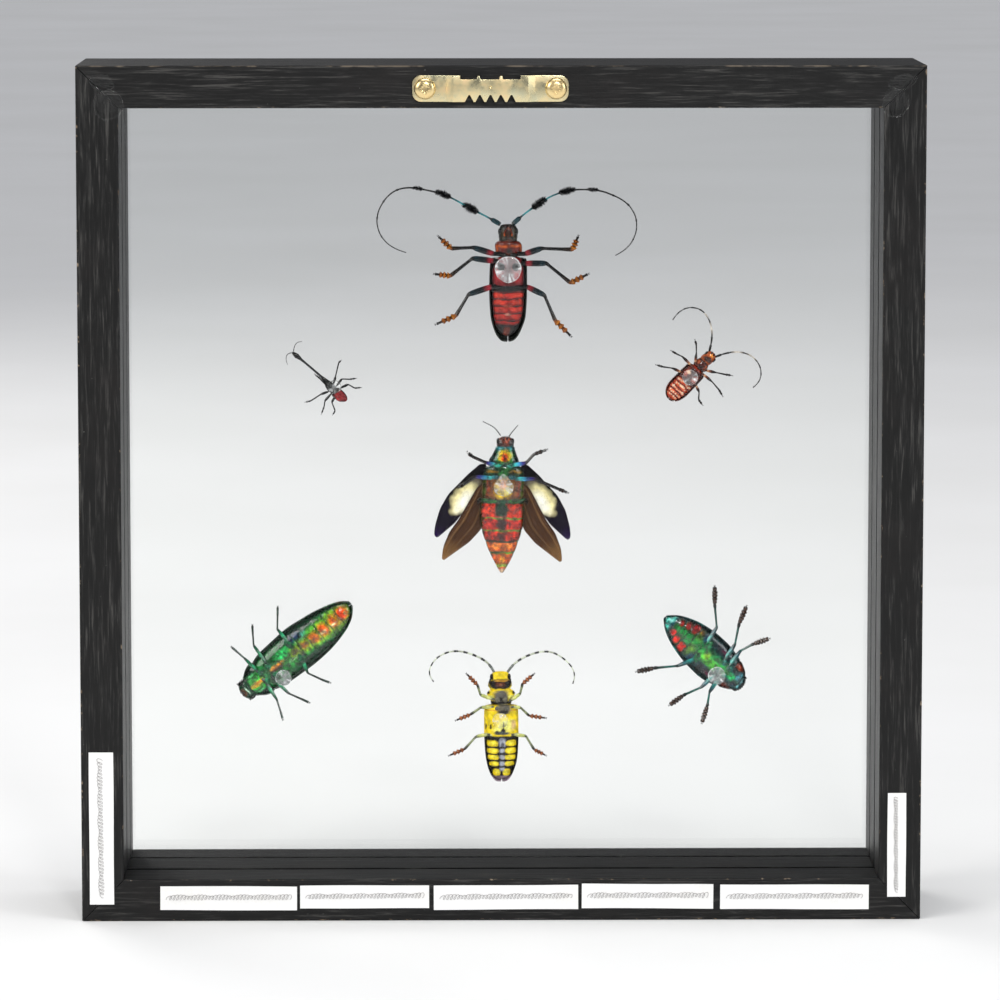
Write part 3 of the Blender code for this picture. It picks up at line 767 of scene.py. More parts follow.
LABELS = (
    "label_left", "label_bottom_1", "label_bottom_2", "label_bottom_3", "label_bottom_4",
    "label_bottom_5", "label_right",
)
LEANS = (0.6, 0.3, 0.0, -0.2, 0.4, 0.2, 0.6)  # degrees
UPRIGHT_TURN = {"label_left": 90, "label_right": 90}
for number, (node, lean) in enumerate(zip(LABELS, LEANS)):
    low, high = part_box(node)
    size = (high - low) / MM
    long, tall = max(size.x, size.z) - 0.3, min(size.x, size.z) - 0.15
    middle = ((low.x + high.x) / 2, high.y, (low.z + high.z) / 2)
    turn = UPRIGHT_TURN.get(node, 0)
    strip = paper_strip("paper_" + node[6:], long, tall, number / 7)
    line = pen_loops("pen_line_" + node[6:], 0.9 * long, 0.34 * tall)
    placed(line, (0, 0, 0.19), Euler((0, 0, 0)), 1.0)
    for piece in (strip, line):
        placed(piece, (0, 0, 0), Euler((0, 0, math.radians(turn + (0 if turn else -lean)))), 1.0)
        placed(piece, middle, FACING_BACK)
        shaded(piece, 50)
    settle(strip, paper("white_paper_" + node[6:], 2.0 * number), "label_paper", node)
    settle(line, pen_ink, "label_paper", node)

# %% [markdown]
# ## How a beetle is made
#
# Every beetle is drawn in millimetres in its own axes: X across it, Z towards its head, Y from its
# belly to its back, with its dot of glue at the origin. Its shell is turned, section by section,
# and a small step at each ring makes one plate slide under the next. The wing cases are cut from a
# wider turned shape, hollow and open below, so that from the belly they show as a rim. Legs and
# feelers are drawn lines that are given a changing width. Colours are painted on the points of the
# mesh, as you would with a brush in vertex paint, and one material turns the paint into lacquered
# shell.


# %% Smooth profiles
def eased(knots, values, at):
    """Values between the knots, on a smooth curve that never overshoots them."""
    knots, values = np.array(knots, float), np.array(values, float)
    step = np.diff(knots)
    slope = np.diff(values) / step
    lean = np.concatenate([slope[:1], np.zeros(len(knots) - 2), slope[-1:]])
    for i in range(1, len(knots) - 1):
        if slope[i - 1] * slope[i] > 0:
            lean[i] = 2 / (1 / slope[i - 1] + 1 / slope[i])
    i = np.clip(np.searchsorted(knots, at) - 1, 0, len(step) - 1)
    t = (at - knots[i]) / step[i]
    ends = values[i] * (1 + 2 * t) * (1 - t) ** 2 + values[i + 1] * t * t * (3 - 2 * t)
    return ends + step[i] * t * (1 - t) * (lean[i] * (1 - t) - lean[i + 1] * t)


def profile(controls, rise, rings=(), step=0.45, groove=0.04):
    """Close sections through (Z, half width, half depth, middle X). Plates overlap at the rings."""
    controls = sorted(controls)
    knots = [c[0] for c in controls]
    stops = set(np.linspace(knots[0], knots[-1], max(int((knots[-1] - knots[0]) / step), 8)))
    for ring in rings:
        stops |= {ring - 0.10, ring - 0.5, ring + 0.04}
    stops = np.array(sorted(z for z in stops if knots[0] <= z <= knots[-1]))
    wide, deep, x = (eased(knots, [c[i] for c in controls], stops) for i in (1, 2, 3))
    share = np.ones(len(stops))
    for ring in rings:
        under = stops < ring
        share[under] -= groove * np.exp((stops[under] - ring) / 1.0)
    return [(z, w * s, d * s, m, rise) for z, w, d, m, s in zip(stops, wide, deep, x, share)]


# %% Paint
def points_of(piece):
    flat = np.empty(3 * len(piece.data.vertices))
    piece.data.vertices.foreach_get("co", flat)
    return flat.reshape(-1, 3)


def give_tint(piece, colours):
    """Stores one colour per point, as the layer that the shell and limb materials read."""
    layer = piece.data.attributes.new("Tint", "FLOAT_COLOR", "POINT")
    layer.data.foreach_set("color", np.ascontiguousarray(colours, dtype=np.float32).ravel())
    return piece


def tinted(piece, colour):
    return give_tint(piece, np.tile(np.array(tone(*colour)), (len(piece.data.vertices), 1)))


SQUARENESS = 2.6  # of a spot: 2 is an oval, and more is nearer to a block
BELLY_SHARE = 0.62  # the lower share of a shape that marks are painted on


def inside(value, low, high, soft):
    return np.clip((value - low) / soft + 0.5, 0, 1) * np.clip((high - value) / soft + 0.5, 0, 1)


def paint(piece, controls, base, zones, wobble=0.5):
    """Brushes zones over the base colour, each over the last. A zone is (colour, kind, numbers).

    band: from Z, to Z, soft. spot: X, Z, half width, half height, soft. pair: a spot on both sides.
    stripe: from Z, to Z, share of the half width, soft. rim: the same, outside that share. back.
    """
    take(piece)
    bpy.ops.object.transform_apply(location=True, rotation=True, scale=True)
    at = points_of(piece)
    controls = sorted(controls)
    knots = [c[0] for c in controls]
    wide, middle = (eased(knots, [c[i] for c in controls], at[:, 2]) for i in (1, 3))
    shake = np.array([noise.noise_vector(Vector(p) * 0.55) for p in at])
    ragged = 0.5 * wobble * np.array([noise.noise(Vector(p) * 1.6) for p in at])
    x, z = at[:, 0] - middle + wobble * shake[:, 0], at[:, 2] + wobble * shake[:, 1]
    aside = np.abs(x) / np.maximum(wide, 0.3)
    colours = np.tile(np.array(tone(*base)), (len(at), 1))
    for colour, kind, *numbers in zones:
        if kind == "band":
            mask = inside(z, *numbers)
        elif kind == "stripe":
            mask = inside(z, numbers[0], numbers[1], 0.5) * np.clip(
                (numbers[2] - aside) / numbers[3] + 0.5, 0, 1,
            )
        elif kind == "rim":
            mask = inside(z, numbers[0], numbers[1], 0.5) * np.clip(
                (aside - numbers[2]) / numbers[3] + 0.5, 0, 1,
            )
        elif kind == "back":
            mask = np.clip((at[:, 1] - at[:, 1].mean()) / 0.5, 0, 1)
        else:
            spot_x, spot_z, half_x, half_z, soft = numbers
            across = np.abs(x) - spot_x if kind == "pair" else x - spot_x
            far = np.abs(across / half_x) ** SQUARENESS + np.abs(
                (z - spot_z) / half_z
            ) ** SQUARENESS
            mask = np.clip((1 - far ** (1 / SQUARENESS) - ragged) / soft + 0.5, 0, 1)
        if kind not in ("back", "band"):
            mask = mask * (at[:, 1] < at[:, 1].max() * BELLY_SHARE)
        mask = mask[:, None]
        colours = colours * (1 - mask) + np.array(tone(*colour)) * mask
    return give_tint(piece, colours)


def plate(name, controls, rise, base, zones=(), rings=(), sides=36, step=0.45, wobble=0.5):
    """A painted turned shape."""
    piece = turned(name, profile(controls, rise, rings, step), sides)
    smoothed(piece)
    return paint(piece, controls, base, zones, wobble)


def ball(at, size, colour, turn=(0, 0, 0)):
    """An eye, a hip or a jaw: a squashed sphere of one colour."""
    deselect()
    bpy.ops.mesh.primitive_uv_sphere_add(
        segments=20, ring_count=12, radius=1, location=at, scale=size,
        rotation=[math.radians(a) for a in turn],
    )
    piece = bpy.context.object
    face_out(piece)
    bpy.ops.object.transform_apply(location=True, rotation=True, scale=True)
    return tinted(piece, colour)


def both_sides(*rows):
    """Balls in mirrored pairs, each as ((middle X, aside, Y, Z), size, colour, lean in degrees)."""
    return [
        ball((middle + side * aside, y, z), size, colour, (0, side * sum(lean), 0))
        for side in (-1, 1) for (middle, aside, y, z), size, colour, *lean in rows
    ]


# %% Wing cases
def wing_cases(
    name, controls, rise, cut, base, zones=(), gap=0.10, thick=0.4, front=0.9, notch=0.0,
):
    """Two hollow shells over the back, cut from one wider shape and open below and in front."""
    controls = sorted(controls)
    middle = np.mean([c[3] for c in controls])
    halves = []
    for side in (-1, 1):
        half = turned(name, profile(controls, rise, step=0.6), 44)
        smoothed(half)
        edit(half)
        low, high = controls[0][0], controls[-1][0]
        for plane_co, plane_no in (
            ((0, cut, 0), (0, 1, 0)),
            ((0, 0, high - front), (0, 0, -1)),
            ((middle + side * gap, 0, 0), (side, 0, 0)),
            ((middle + side * notch, 0, low), (side * 0.75, 0, 0.45)),
        ):
            bpy.ops.mesh.select_all(action="SELECT")
            bpy.ops.mesh.bisect(plane_co=plane_co, plane_no=plane_no, clear_inner=True)
        bpy.ops.object.mode_set(mode="OBJECT")
        apply_modifier(half, "SOLIDIFY", thickness=thick, offset=-1)
        paint(half, controls, base, zones)
        halves.append(half)
    return joined(name, halves)


# %% Limbs
ROUNDING = 0.35  # how far the bend of a joint reaches to each side of it


def limb(name, path, stops, sides=1, spacing=0.5):
    """A line with a width. path: (X, Y, Z) points. stops: (millimetres along, radius, colour)."""
    path = np.array(path, float)
    long = np.concatenate([[0], np.cumsum(np.linalg.norm(np.diff(path, axis=0), axis=1))])
    marks = set(np.linspace(0, long[-1], max(int(long[-1] / spacing), 3)))
    marks |= {min(max(stop[0], 0), long[-1]) for stop in stops}
    marks = np.array(sorted(marks))
    marks = marks[np.concatenate([[True], np.diff(marks) > 0.04])]
    # Each point is the mean of the path just before, at and just after it, which rounds the joints.
    near_by = [np.clip(marks + shift, 0, long[-1]) for shift in (-ROUNDING, 0, ROUNDING)]
    stations = np.mean(
        [[np.interp(m, long, path[:, i]) for i in range(3)] for m in near_by], axis=0,
    ).T
    places = [stop[0] for stop in stops]
    radii = np.interp(marks, places, [stop[1] for stop in stops])
    tones = np.array([tone(*stop[2]) for stop in stops])
    colours = np.array([np.interp(marks, places, tones[:, i]) for i in range(4)]).T
    line = drawn(name, [tuple(p) for p in stations])
    bpy.ops.object.transform_apply(location=True, rotation=True, scale=True)
    bpy.ops.object.convert(target="CURVE")
    line = bpy.context.object
    for point in line.data.splines[0].points:
        place = int(np.argmin(np.linalg.norm(stations - np.array(point.co[:3]), axis=1)))
        point.radius = radii[place]
    line.data.bevel_depth = 1.0
    line.data.bevel_resolution = sides
    line.data.use_fill_caps = True
    bpy.ops.object.convert(target="MESH")
    line = bpy.context.object
    face_out(line)
    nearest = [int(np.argmin(np.linalg.norm(stations - p, axis=1))) for p in points_of(line)]
    return give_tint(line, colours[nearest])


def walk(start, side, lengths, angles):
    """Points of a limb that leaves start and turns at each joint, as (X, Z)."""
    points = [start]
    for length, angle in zip(lengths, angles):
        x, z = points[-1]
        points.append(
            (
                x + side * length * math.cos(math.radians(angle)),
                z + length * math.sin(math.radians(angle)),
            )
        )
    return points


# Heights over the belly's lowest point: hip joint, thigh, knee, ankle and claws.
LEG_HEIGHTS = (1.15, 1.35, 1.7, 1.15, 0.62)


def leg(side, x, z, lengths, angles, reach, size, style):
    """A leg in its three parts, with two claws. style: (place, radius, colour) along it.

    A place counts parts: 0 to 1 is the thigh, 1 to 2 the shin and 2 to 3 the foot.
    """
    flat = [(x - side * reach, z)] + walk((x, z), side, lengths, angles)
    path = [(px, h * size, pz) for (px, pz), h in zip(flat, LEG_HEIGHTS)]
    joints = [reach, reach + lengths[0], reach + lengths[0] + lengths[1], reach + sum(lengths)]
    stops = [(0.0, style[0][1] * size, style[0][2])]
    for along, radius, colour in style:
        part = min(int(along), 2)
        share = along - part
        stops.append(
            (joints[part] + share * (joints[part + 1] - joints[part]), radius * size, colour)
        )
    pieces = [limb("leg", path, stops)]
    heading = math.radians(angles[-1])
    tip_x, tip_z = flat[-1]
    for fork in (-38, 38):
        turn = heading + math.radians(fork)
        mid = (tip_x + side * 0.45 * size * math.cos(turn), tip_z + 0.45 * size * math.sin(turn))
        end = (
            mid[0] + side * 0.5 * size * math.cos(heading), mid[1] + 0.5 * size * math.sin(heading),
        )
        claw = [
            (tip_x, 0.62 * size, tip_z), (mid[0], 0.6 * size, mid[1]),
            (end[0], 0.45 * size, end[1]),
        ]
        pieces.append(
            limb("claw", claw, [(0, 0.16 * size, style[-1][2]), (1.2, 0.07 * size, style[-1][2])])
        )
    return pieces


def legs(rows, reach, size, style):
    return [part for row in rows for part in leg(*row, reach, size, style)]


def feeler(side, x, z, step, angles, height, stops, bend=0.0):
    """A feeler from its root in the head. The path is smoothed through its joints."""
    flat = np.array(walk((x, z), side, [step] * len(angles), angles))
    long = np.arange(len(flat)) * step
    fine = np.linspace(0, long[-1], 5 * len(flat))
    curve = [np.interp(fine, long, flat[:, 0]), np.interp(fine, long, flat[:, 1])]
    for i in (0, 1):
        soft = np.convolve(np.pad(curve[i], 3, "edge"), np.ones(7) / 7, "valid")
        soft[0], soft[-1] = curve[i][0], curve[i][-1]
        curve[i] = soft
    path = [
        (px, height + bend * math.sin(2.2 * t / max(long[-1], 1)), pz)
        for px, pz, t in zip(*curve, fine)
    ]
    return limb("feeler", path, stops)


def jointed(total, count, thin, thick, colour, joint_colour, start=0.0, taper=0.5):
    """Feeler stops: count segments, each swelling towards its end, thinner towards the tip."""
    stops = []
    for i in range(count):
        low = start + (total - start) * i / count
        high = start + (total - start) * (i + 1) / count
        share = 1 - taper * i / count
        stops += [
            (low, thin * share, joint_colour),
            (low + 0.12 * (high - low), thin * share, joint_colour),
        ]
        stops += [
            (low + 0.2 * (high - low), thin * share * 1.1, colour),
            (high - 0.15, thick * share, colour),
        ]
    return stops


# %% Shell, limb and glue materials
def shell(name, metal, coat, rough, dimple, depth, least=0.4, glow=0.0, specular=0.5):
    """Painted shell. dimple is how many small pits lie in a metre, and depth is their depth.

    least is how bright the darkest blotch is beside the paint, and glow how much the brightest
    blotches are lightened, as painted highlights.
    """
    material, tree, shader = new_material(
        name, Metallic=metal, Coat_Weight=coat, Coat_Roughness=0.06, Specular_IOR_Level=specular,
    )
    tint = add(tree, "Attribute", attribute_name="Tint").outputs["Color"]
    place = object_place(tree)
    cloud = grainy(tree, place, 520.0, 4.0, 0.6)
    grit = grainy(tree, place, 2600.0, 2.0, 0.6)
    pits = add(tree, "TexVoronoi", {"Vector": place, "Scale": dimple}).outputs["Distance"]
    dark = (least * 0.55, least * 0.5, least * 0.45, 1)
    colour = mixed(tree, span(tree, cloud, 0.36, 0.60, 1.0 - least, 0.0), tint, dark, "MULTIPLY")
    colour = mixed(tree, span(tree, pits, 0.05, 0.35, 1.0 - least, 0.0), colour, dark, "MULTIPLY")
    # Painted highlights: the brightest blotches are lightened with the shell's own paint.
    if glow:
        colour = mixed(tree, span(tree, cloud, 0.54, 0.70, 0.0, glow), colour, tint, "ADD")
    coloured(tree, shader, colour, span(tree, cloud, 0.35, 0.65, rough, rough + 0.18))
    heights = maths(tree, "ADD", times(tree, pits, 0.7), times(tree, cloud, 0.8))
    heights = maths(tree, "ADD", heights, times(tree, grit, 0.25))
    bumped(tree, shader, heights, 0.9, depth * MM)
    return material


JEWEL_SHELL = shell("jewel_shell", 0.7, 1.0, 0.2, 1500.0, 0.2, 0.22, 0.8)
HORN_SHELL = shell("horn_shell", 0.1, 0.5, 0.30, 1700.0, 0.16, 0.3, specular=0.3)
SATIN_SHELL = shell("satin_shell", 0.0, 0.2, 0.45, 2200.0, 0.10, specular=0.25)
LIMB_SKIN = shell("limb_skin", 0.1, 0.3, 0.35, 2400.0, 0.08, 0.35, specular=0.25)
JEWEL_LIMB = shell("jewel_limb", 0.6, 0.9, 0.26, 2400.0, 0.08, 0.25, 0.5)

glue_glass = clear_glass("glue_glass", 0.3, (0.97, 0.985, 0.98, 1), 0.3, 1.42, whitened=True)


# The side of a drop, from the glass out: (share of its depth, share of its radius).
DROP_EDGE = [
    (0.0, 0.90), (0.06, 0.96), (0.3, 1.0), (0.55, 0.985), (0.8, 0.90), (0.93, 0.82), (0.96, 0.70),
    (0.98, 0.55), (0.99, 0.4), (1.0, 0.25), (1.0, 0.1),
]
BUBBLES = 3


def glue_dot(name, beetle, radius, tip=0.0, seed=1, haze=0.1, streaks=9, rim=0.6, clear=()):
    """A pressed drop of clear glue, a little out of round, with trapped air in streaks.

    haze is how clouded it is all over, rim how white its edge is, a painted reflection that is
    brighter towards one side, and tip how far its upper end is drawn out. clear is where it is
    quite clear, as (X, Z, radius).
    """
    low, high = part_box(beetle.replace("beetle", "glue"))
    deep = (high.y - low.y) / MM
    rings = [(deep * z, radius * r, radius * r, 0, 0) for z, r in DROP_EDGE]
    drop = turned(name, rings, 48)
    for point in drop.data.vertices:
        angle = math.atan2(point.co.y, point.co.x)
        point.co.xy *= 0.985 - 0.02 * math.cos(3 * angle + seed) - 0.012 * math.cos(
            7 * angle + 2 * seed
        )
        if tip and point.co.y > 0:
            point.co.y *= 1 + tip * (point.co.y / radius) ** 3
            point.co.x *= 1 - 0.42 * (point.co.y / radius / (1 + tip))
    smoothed(drop)
    at = points_of(drop)
    rng = np.random.default_rng(seed)
    angle, far = np.arctan2(at[:, 1], at[:, 0]), np.hypot(at[:, 0], at[:, 1]) / radius
    # Painted reflection: the whitened edge, brighter towards one side. The rest is clouding.
    whiteness = haze + rim * np.clip((far - 0.89) / 0.07, 0, 1) * (
        0.55 + 0.45 * np.sin(angle + 0.8 * seed)
    )
    for _ in range(streaks):
        apart = np.abs((angle - rng.uniform(-math.pi, math.pi) + math.pi) % math.tau - math.pi)
        whiteness += rng.uniform(0.15, 0.5) * np.clip(
            1 - apart / rng.uniform(0.06, 0.2), 0, 1,
        ) * np.clip(2 * far - 0.35, 0, 1)
    for _ in range(BUBBLES):
        x, y = rng.uniform(-0.6, 0.6, 2) * radius
        whiteness += 0.35 * np.clip(
            1 - np.hypot(at[:, 0] - x, at[:, 1] - y) / rng.uniform(0.5, 1.1), 0, 1,
        )
    for x, y, reach in clear:
        whiteness *= np.clip(np.hypot(at[:, 0] - x, at[:, 1] - y) / reach - 0.6, 0, 0.6) / 0.6
    give_tint(drop, np.repeat(np.clip(whiteness, 0, 0.95)[:, None], 4, axis=1))
    middle = (low + high) / 2
    placed(drop, (middle.x, high.y, middle.z), FACING_BACK)
    shaded(drop, 180)
    settle(drop, glue_glass, "clear_glue", beetle.replace("beetle", "glue"))


def mount(node, turn, pieces, materials):
    """Joins each list of pieces and lets it stand, in its place, for the plain beetle."""
    glue_low, glue_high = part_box(node.replace("beetle", "glue"))
    place = ((glue_low.x + glue_high.x) / 2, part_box(node)[0].y, (glue_low.z + glue_high.z) / 2)
    for (part, group), material in zip(pieces.items(), materials):
        piece = joined(node[7:] + "_" + part, group)
        face_out(piece)
        placed(piece, place, Euler((0, math.radians(turn), 0)))
        shaded(piece, 50)
        settle(piece, material, node, node)

# %% [markdown]
# ## The long-feelered beetle at the top
#
# The largest one: crimson below, dark at the rim, with orange brushes for feet and dark tufts of
# hair along its feelers. Its shell is three turned plates, for the head, the neck plate and the
# body.

# %% Red longhorn
RISE = 3.7  # height of the body's axis over the belly's lowest point
INK, SOOT, CRIMSON = (14, 13, 14), (30, 28, 26), (104, 14, 24)
SCARLET, RUST, AMBER = (174, 28, 20), (104, 32, 14), (190, 84, 24)
BODY = [
    (4.4, 3.4, 2.4, 0.2), (3.4, 5.2, 3.0, 0.2), (0, 6.0, 3.35, 0.1), (-7, 6.15, 3.4, 0),
    (-13, 5.95, 3.1, 0), (-18, 5.3, 2.7, -0.1), (-22, 3.9, 2.1, -0.3), (-24.2, 1.9, 1.2, -0.35),
    (-24.8, 0.4, 0.3, -0.4),
]
CASES = [
    (4.8, 4.4, 2.8, 0.2), (3.4, 6.5, 3.5, 0.2), (0, 6.85, 3.6, 0.1), (-8, 6.95, 3.65, 0),
    (-17, 6.5, 3.2, 0), (-23, 4.8, 2.4, -0.2), (-26.2, 2.7, 1.6, -0.3), (-26.9, 1.5, 1.0, -0.4),
]
RINGS = (-8.5, -11.0, -13.6, -16.3, -18.9)
body_zones = [
    (CRIMSON, "band", -8.4, 3.6, 0.8), ((84, 14, 20), "spot", 0.1, -2, 1.0, 6.0, 0.8),
    ((166, 34, 40), "pair", 3.6, -1.5, 1.6, 3.4, 0.9), (INK, "band", -8.2, -6.2, 0.4),
]
for ring in RINGS:
    body_zones += [
        ((120, 18, 18), "band", ring - 2.6, ring - 1.8, 0.8),
        (SOOT, "band", ring - 0.35, ring + 0.12, 0.2),
    ]
# Painted highlights: a paler scarlet pair in the middle of each belly plate.
body_zones += [
    ((204, 56, 38), "pair", 3.1, -9.6, 2.2, 0.8, 0.9),
    ((204, 56, 36), "pair", 3.0, -12.1, 2.0, 0.8, 0.9),
    ((198, 52, 34), "pair", 2.9, -14.8, 1.8, 0.8, 0.9),
    ((180, 42, 28), "pair", 2.4, -17.4, 1.6, 0.7, 0.9), (INK, "band", -25.5, -20.0, 1.2),
    ((124, 48, 30), "spot", -0.2, -23.0, 1.0, 1.7, 0.8),
    ((150, 60, 40), "spot", 0.0, -13.7, 1.5, 0.5, 0.7),
    ((200, 130, 110), "spot", 0.0, -16.5, 1.0, 0.35, 0.7), (INK, "rim", -26, 4, 0.88, 0.16),
    (SOOT, "back"),
]
shell_parts = [
    plate("body", BODY, RISE, SCARLET, body_zones, RINGS, 44),
    plate("neck", [
        (10.2, 3.4, 2.4, 0), (9.5, 4.5, 2.8, 0), (8.2, 5.0, 3.0, 0.1), (6.2, 4.9, 2.95, 0.2),
        (4.9, 4.2, 2.7, 0.2), (4.2, 3.4, 2.3, 0.2),
    ], RISE, RUST, [
        (AMBER, "pair", 2.2, 8.3, 1.8, 0.45, 0.6), (AMBER, "pair", 4.4, 7.5, 0.35, 1.4, 0.7),
        (SOOT, "spot", 0.1, 6.6, 1.5, 1.0, 0.8), ((96, 20, 14), "pair", 2.4, 6.6, 1.4, 0.8, 0.7),
        (INK, "band", 3.8, 5.2, 0.5), ((60, 24, 14), "back"),
    ], (5.6,)),
    plate("head", [
        (16.2, 1.9, 1.1, 0), (15.5, 2.9, 1.9, 0), (13.5, 3.4, 2.4, 0), (11.5, 3.5, 2.5, 0),
        (9.9, 3.3, 2.4, 0), (9.2, 2.9, 2.1, 0),
    ], RISE, (30, 28, 20), [
        ((150, 66, 28), "spot", 0.1, 14.8, 1.1, 0.4, 0.6),
        ((70, 36, 18), "spot", 0, 12.4, 0.8, 1.3, 0.9),
        ((58, 48, 28), "pair", 2.0, 12.6, 0.5, 1.6, 0.9),
        ((86, 38, 18), "spot", 0, 10.2, 1.6, 0.3, 0.8), (SOOT, "back"),
    ], (13.9, 11.2)),
    wing_cases(
        "cases", CASES, RISE, RISE - 0.4, (24, 30, 24),
        [((34, 44, 36), "pair", 3.4, -8, 2, 12, 1.5)], gap=0.1, front=1.0, notch=0.3,
    ),
]
shell_parts += both_sides(
    ((0, 2.9, RISE - 0.3, 13.4), (0.8, 1.3, 1.5), INK),
    ((0, 0.85, 2.0, 15.3), (0.6, 0.8, 1.0), (44, 18, 12)),
    ((0.1, 2.4, 1.05, 0.7), (1.6, 0.85, 1.6), (18, 17, 20)),
    ((0.1, 1.7, 1.3, 5.0), (1.25, 0.9, 1.0), SOOT),
    ((0, 3.1, 1.25, -6.7), (3.3, 0.85, 0.85), (20, 20, 22), 4),
    ((0, 0.9, 0.95, -6.6), (0.9, 0.7, 1.1), (28, 28, 32)),
)
LEG_STYLE = [
    (0.0, 0.9, INK), (0.05, 1.0, (110, 20, 32)), (0.14, 1.1, (150, 30, 44)),
    (0.26, 1.2, (120, 26, 38)), (0.38, 1.22, (22, 28, 34)), (0.6, 1.22, (16, 32, 38)),
    (0.85, 1.12, (18, 46, 54)), (1.0, 0.85, INK), (1.12, 0.62, INK), (1.6, 0.68, (20, 22, 24)),
    (1.93, 0.85, (46, 30, 18)), (2.04, 0.8, (140, 78, 30)), (2.18, 1.4, (196, 120, 44)),
    (2.26, 0.65, (90, 50, 20)), (2.42, 1.45, (190, 112, 40)), (2.5, 0.65, (84, 44, 18)),
    (2.66, 1.3, (178, 100, 36)), (2.74, 0.5, (60, 34, 16)), (2.86, 0.48, INK), (3.0, 0.6, INK),
]
LEGS = [
    (-1, -5.2, 5.5, (7.8, 8.1, 6.3), (17, -2, 44)),
    (1, 6.1, 5.5, (6.3, 11.3, 5.2), (18, -2, 67)),
    (-1, -5.2, 2.9, (7.8, 10.3, 5.7), (7, -38, 7)),
    (1, 6.1, 2.0, (7.8, 11.3, 7.1), (0, -39, 27)),
    (-1, -5.9, -6.4, (9, 9, 7.7), (-19, -59, -23)),
    (1, 6.8, -6.5, (7.1, 10, 8), (-26, -67, -45)),
]
TEAL, GLINT = (22, 74, 82), (64, 160, 168)
FEELER_STOPS = [
    (0, 0.75, INK), (1.2, 1.0, (26, 62, 70)), (3.4, 0.95, (24, 56, 64)), (4.1, 0.42, INK),
    (4.8, 0.36, TEAL), (7.0, 0.36, GLINT), (9.2, 0.42, TEAL), (9.6, 0.5, INK), (14.6, 0.5, INK),
    (15.2, 0.34, GLINT), (20.2, 0.34, TEAL), (20.8, 0.42, INK), (26.0, 0.4, INK), (30.5, 0.3, SOOT),
    (31, 0.4, INK), (34.3, 0.36, INK), (40.3, 0.30, INK), (40.8, 0.46, INK), (41.4, 0.28, SOOT),
    (46.8, 0.28, INK), (47.3, 0.44, INK), (47.9, 0.26, SOOT), (53.3, 0.26, INK), (53.8, 0.4, INK),
    (54.4, 0.24, SOOT), (60.5, 0.24, INK), (61, 0.34, INK), (61.6, 0.22, INK), (75, 0.16, INK),
]
FEELERS = [
    (-1, -2.7, 16, 4.85, (30, 27, 28, 30, 25, 12, 12, 2, -24, -51, -66, -93, -117, -142, -162)),
    (1, 1.5, 16, 5.05, (42, 36, 35, 25, 15, 1, -2, -20, -25, -47, -74, -101, -124, -151)),
]
# Tufts of hair along a feeler: from, to, reach, number of hairs.
TUFTS = ((9.2, 15.0, 2.0, 420), (20.6, 26.0, 1.75, 360), (31.0, 34.4, 1.1, 150))


def tuft(path, from_, to, reach, count, colour, seed):
    """A brush of hairs round a stretch of a feeler, each hair a thin cone that leans forward."""
    rng = np.random.default_rng(seed)
    path = np.array(path)
    long = np.concatenate([[0], np.cumsum(np.linalg.norm(np.diff(path, axis=0), axis=1))])
    brush = bpy.data.curves.new("tuft", "CURVE")
    brush.dimensions = "3D"
    brush.bevel_depth = 1.0
    brush.bevel_resolution = 0
    for _ in range(count):
        share = rng.uniform()
        root = np.array(
            [np.interp(from_ + share * (to - from_), long, path[:, i]) for i in range(3)]
        )
        beyond = from_ + share * (to - from_) + 0.5
        ahead = np.array([np.interp(beyond, long, path[:, i]) for i in range(3)]) - root
        ahead /= max(np.linalg.norm(ahead), 1e-6)
        out = rng.normal(size=3)
        out -= ahead * out.dot(ahead)
        out /= np.linalg.norm(out)
        reached = reach * (
            0.55 + 0.45 * math.sin(math.pi * min(share * 0.9 + 0.12, 1))
        ) * rng.uniform(0.6, 1.0)
        tip = root + out * reached + ahead * rng.uniform(0.3, 1.2)
        spline = brush.splines.new("POLY")
        spline.points.add(1)
        spline.points[0].co, spline.points[1].co = (*root, 1), (*tip, 1)
        spline.points[0].radius, spline.points[1].radius = 0.13, 0.03
    piece = bpy.data.objects.new("tuft", brush)
    bpy.context.scene.collection.objects.link(piece)
    take(piece)
    bpy.ops.object.convert(target="MESH")
    return tinted(bpy.context.object, colour)


limbs = legs(LEGS[:2], 3.0, 1.0, LEG_STYLE) + legs(LEGS[2:], 1.6, 1.0, LEG_STYLE)
for side, x, z, step, angles in FEELERS:
    limbs.append(feeler(side, x, z, step, angles, RISE, FEELER_STOPS))
    flat = walk((x, z), side, [step] * len(angles), angles)
    for number, (from_, to, reach, count) in enumerate(TUFTS):
        limbs.append(
            tuft(
                [(a, RISE, b) for a, b in flat], from_, to, reach, count, (18, 20, 26),
                10 * number + side + 1,
            )
        )
    palp = [(side * 0.7, 1.4, 14.2), (side * 1.5, 1.0, 13.2), (side * 1.3, 0.9, 11.9)]
    limbs.append(limb("palp", palp, [(0, 0.3, RUST), (1.2, 0.22, RUST), (2.4, 0.3, AMBER)]))
mount("beetle_top_longhorn", 0, {"shell": shell_parts, "limbs": limbs}, (HORN_SHELL, LIMB_SKIN))
glue_dot(
    "glue_top", "beetle_top_longhorn", 4.95, seed=1, haze=0.14, streaks=16, rim=0.8,
    clear=((-2.3, 0.8, 1.5), (2.4, 0.9, 1.5)),
)

# %% [markdown]
# ## The giraffe weevil
#
# A small black beetle that is mostly neck. The neck, the collar and the front of the body are one
# long turned shape, and the hind body is a red, glassy drop.

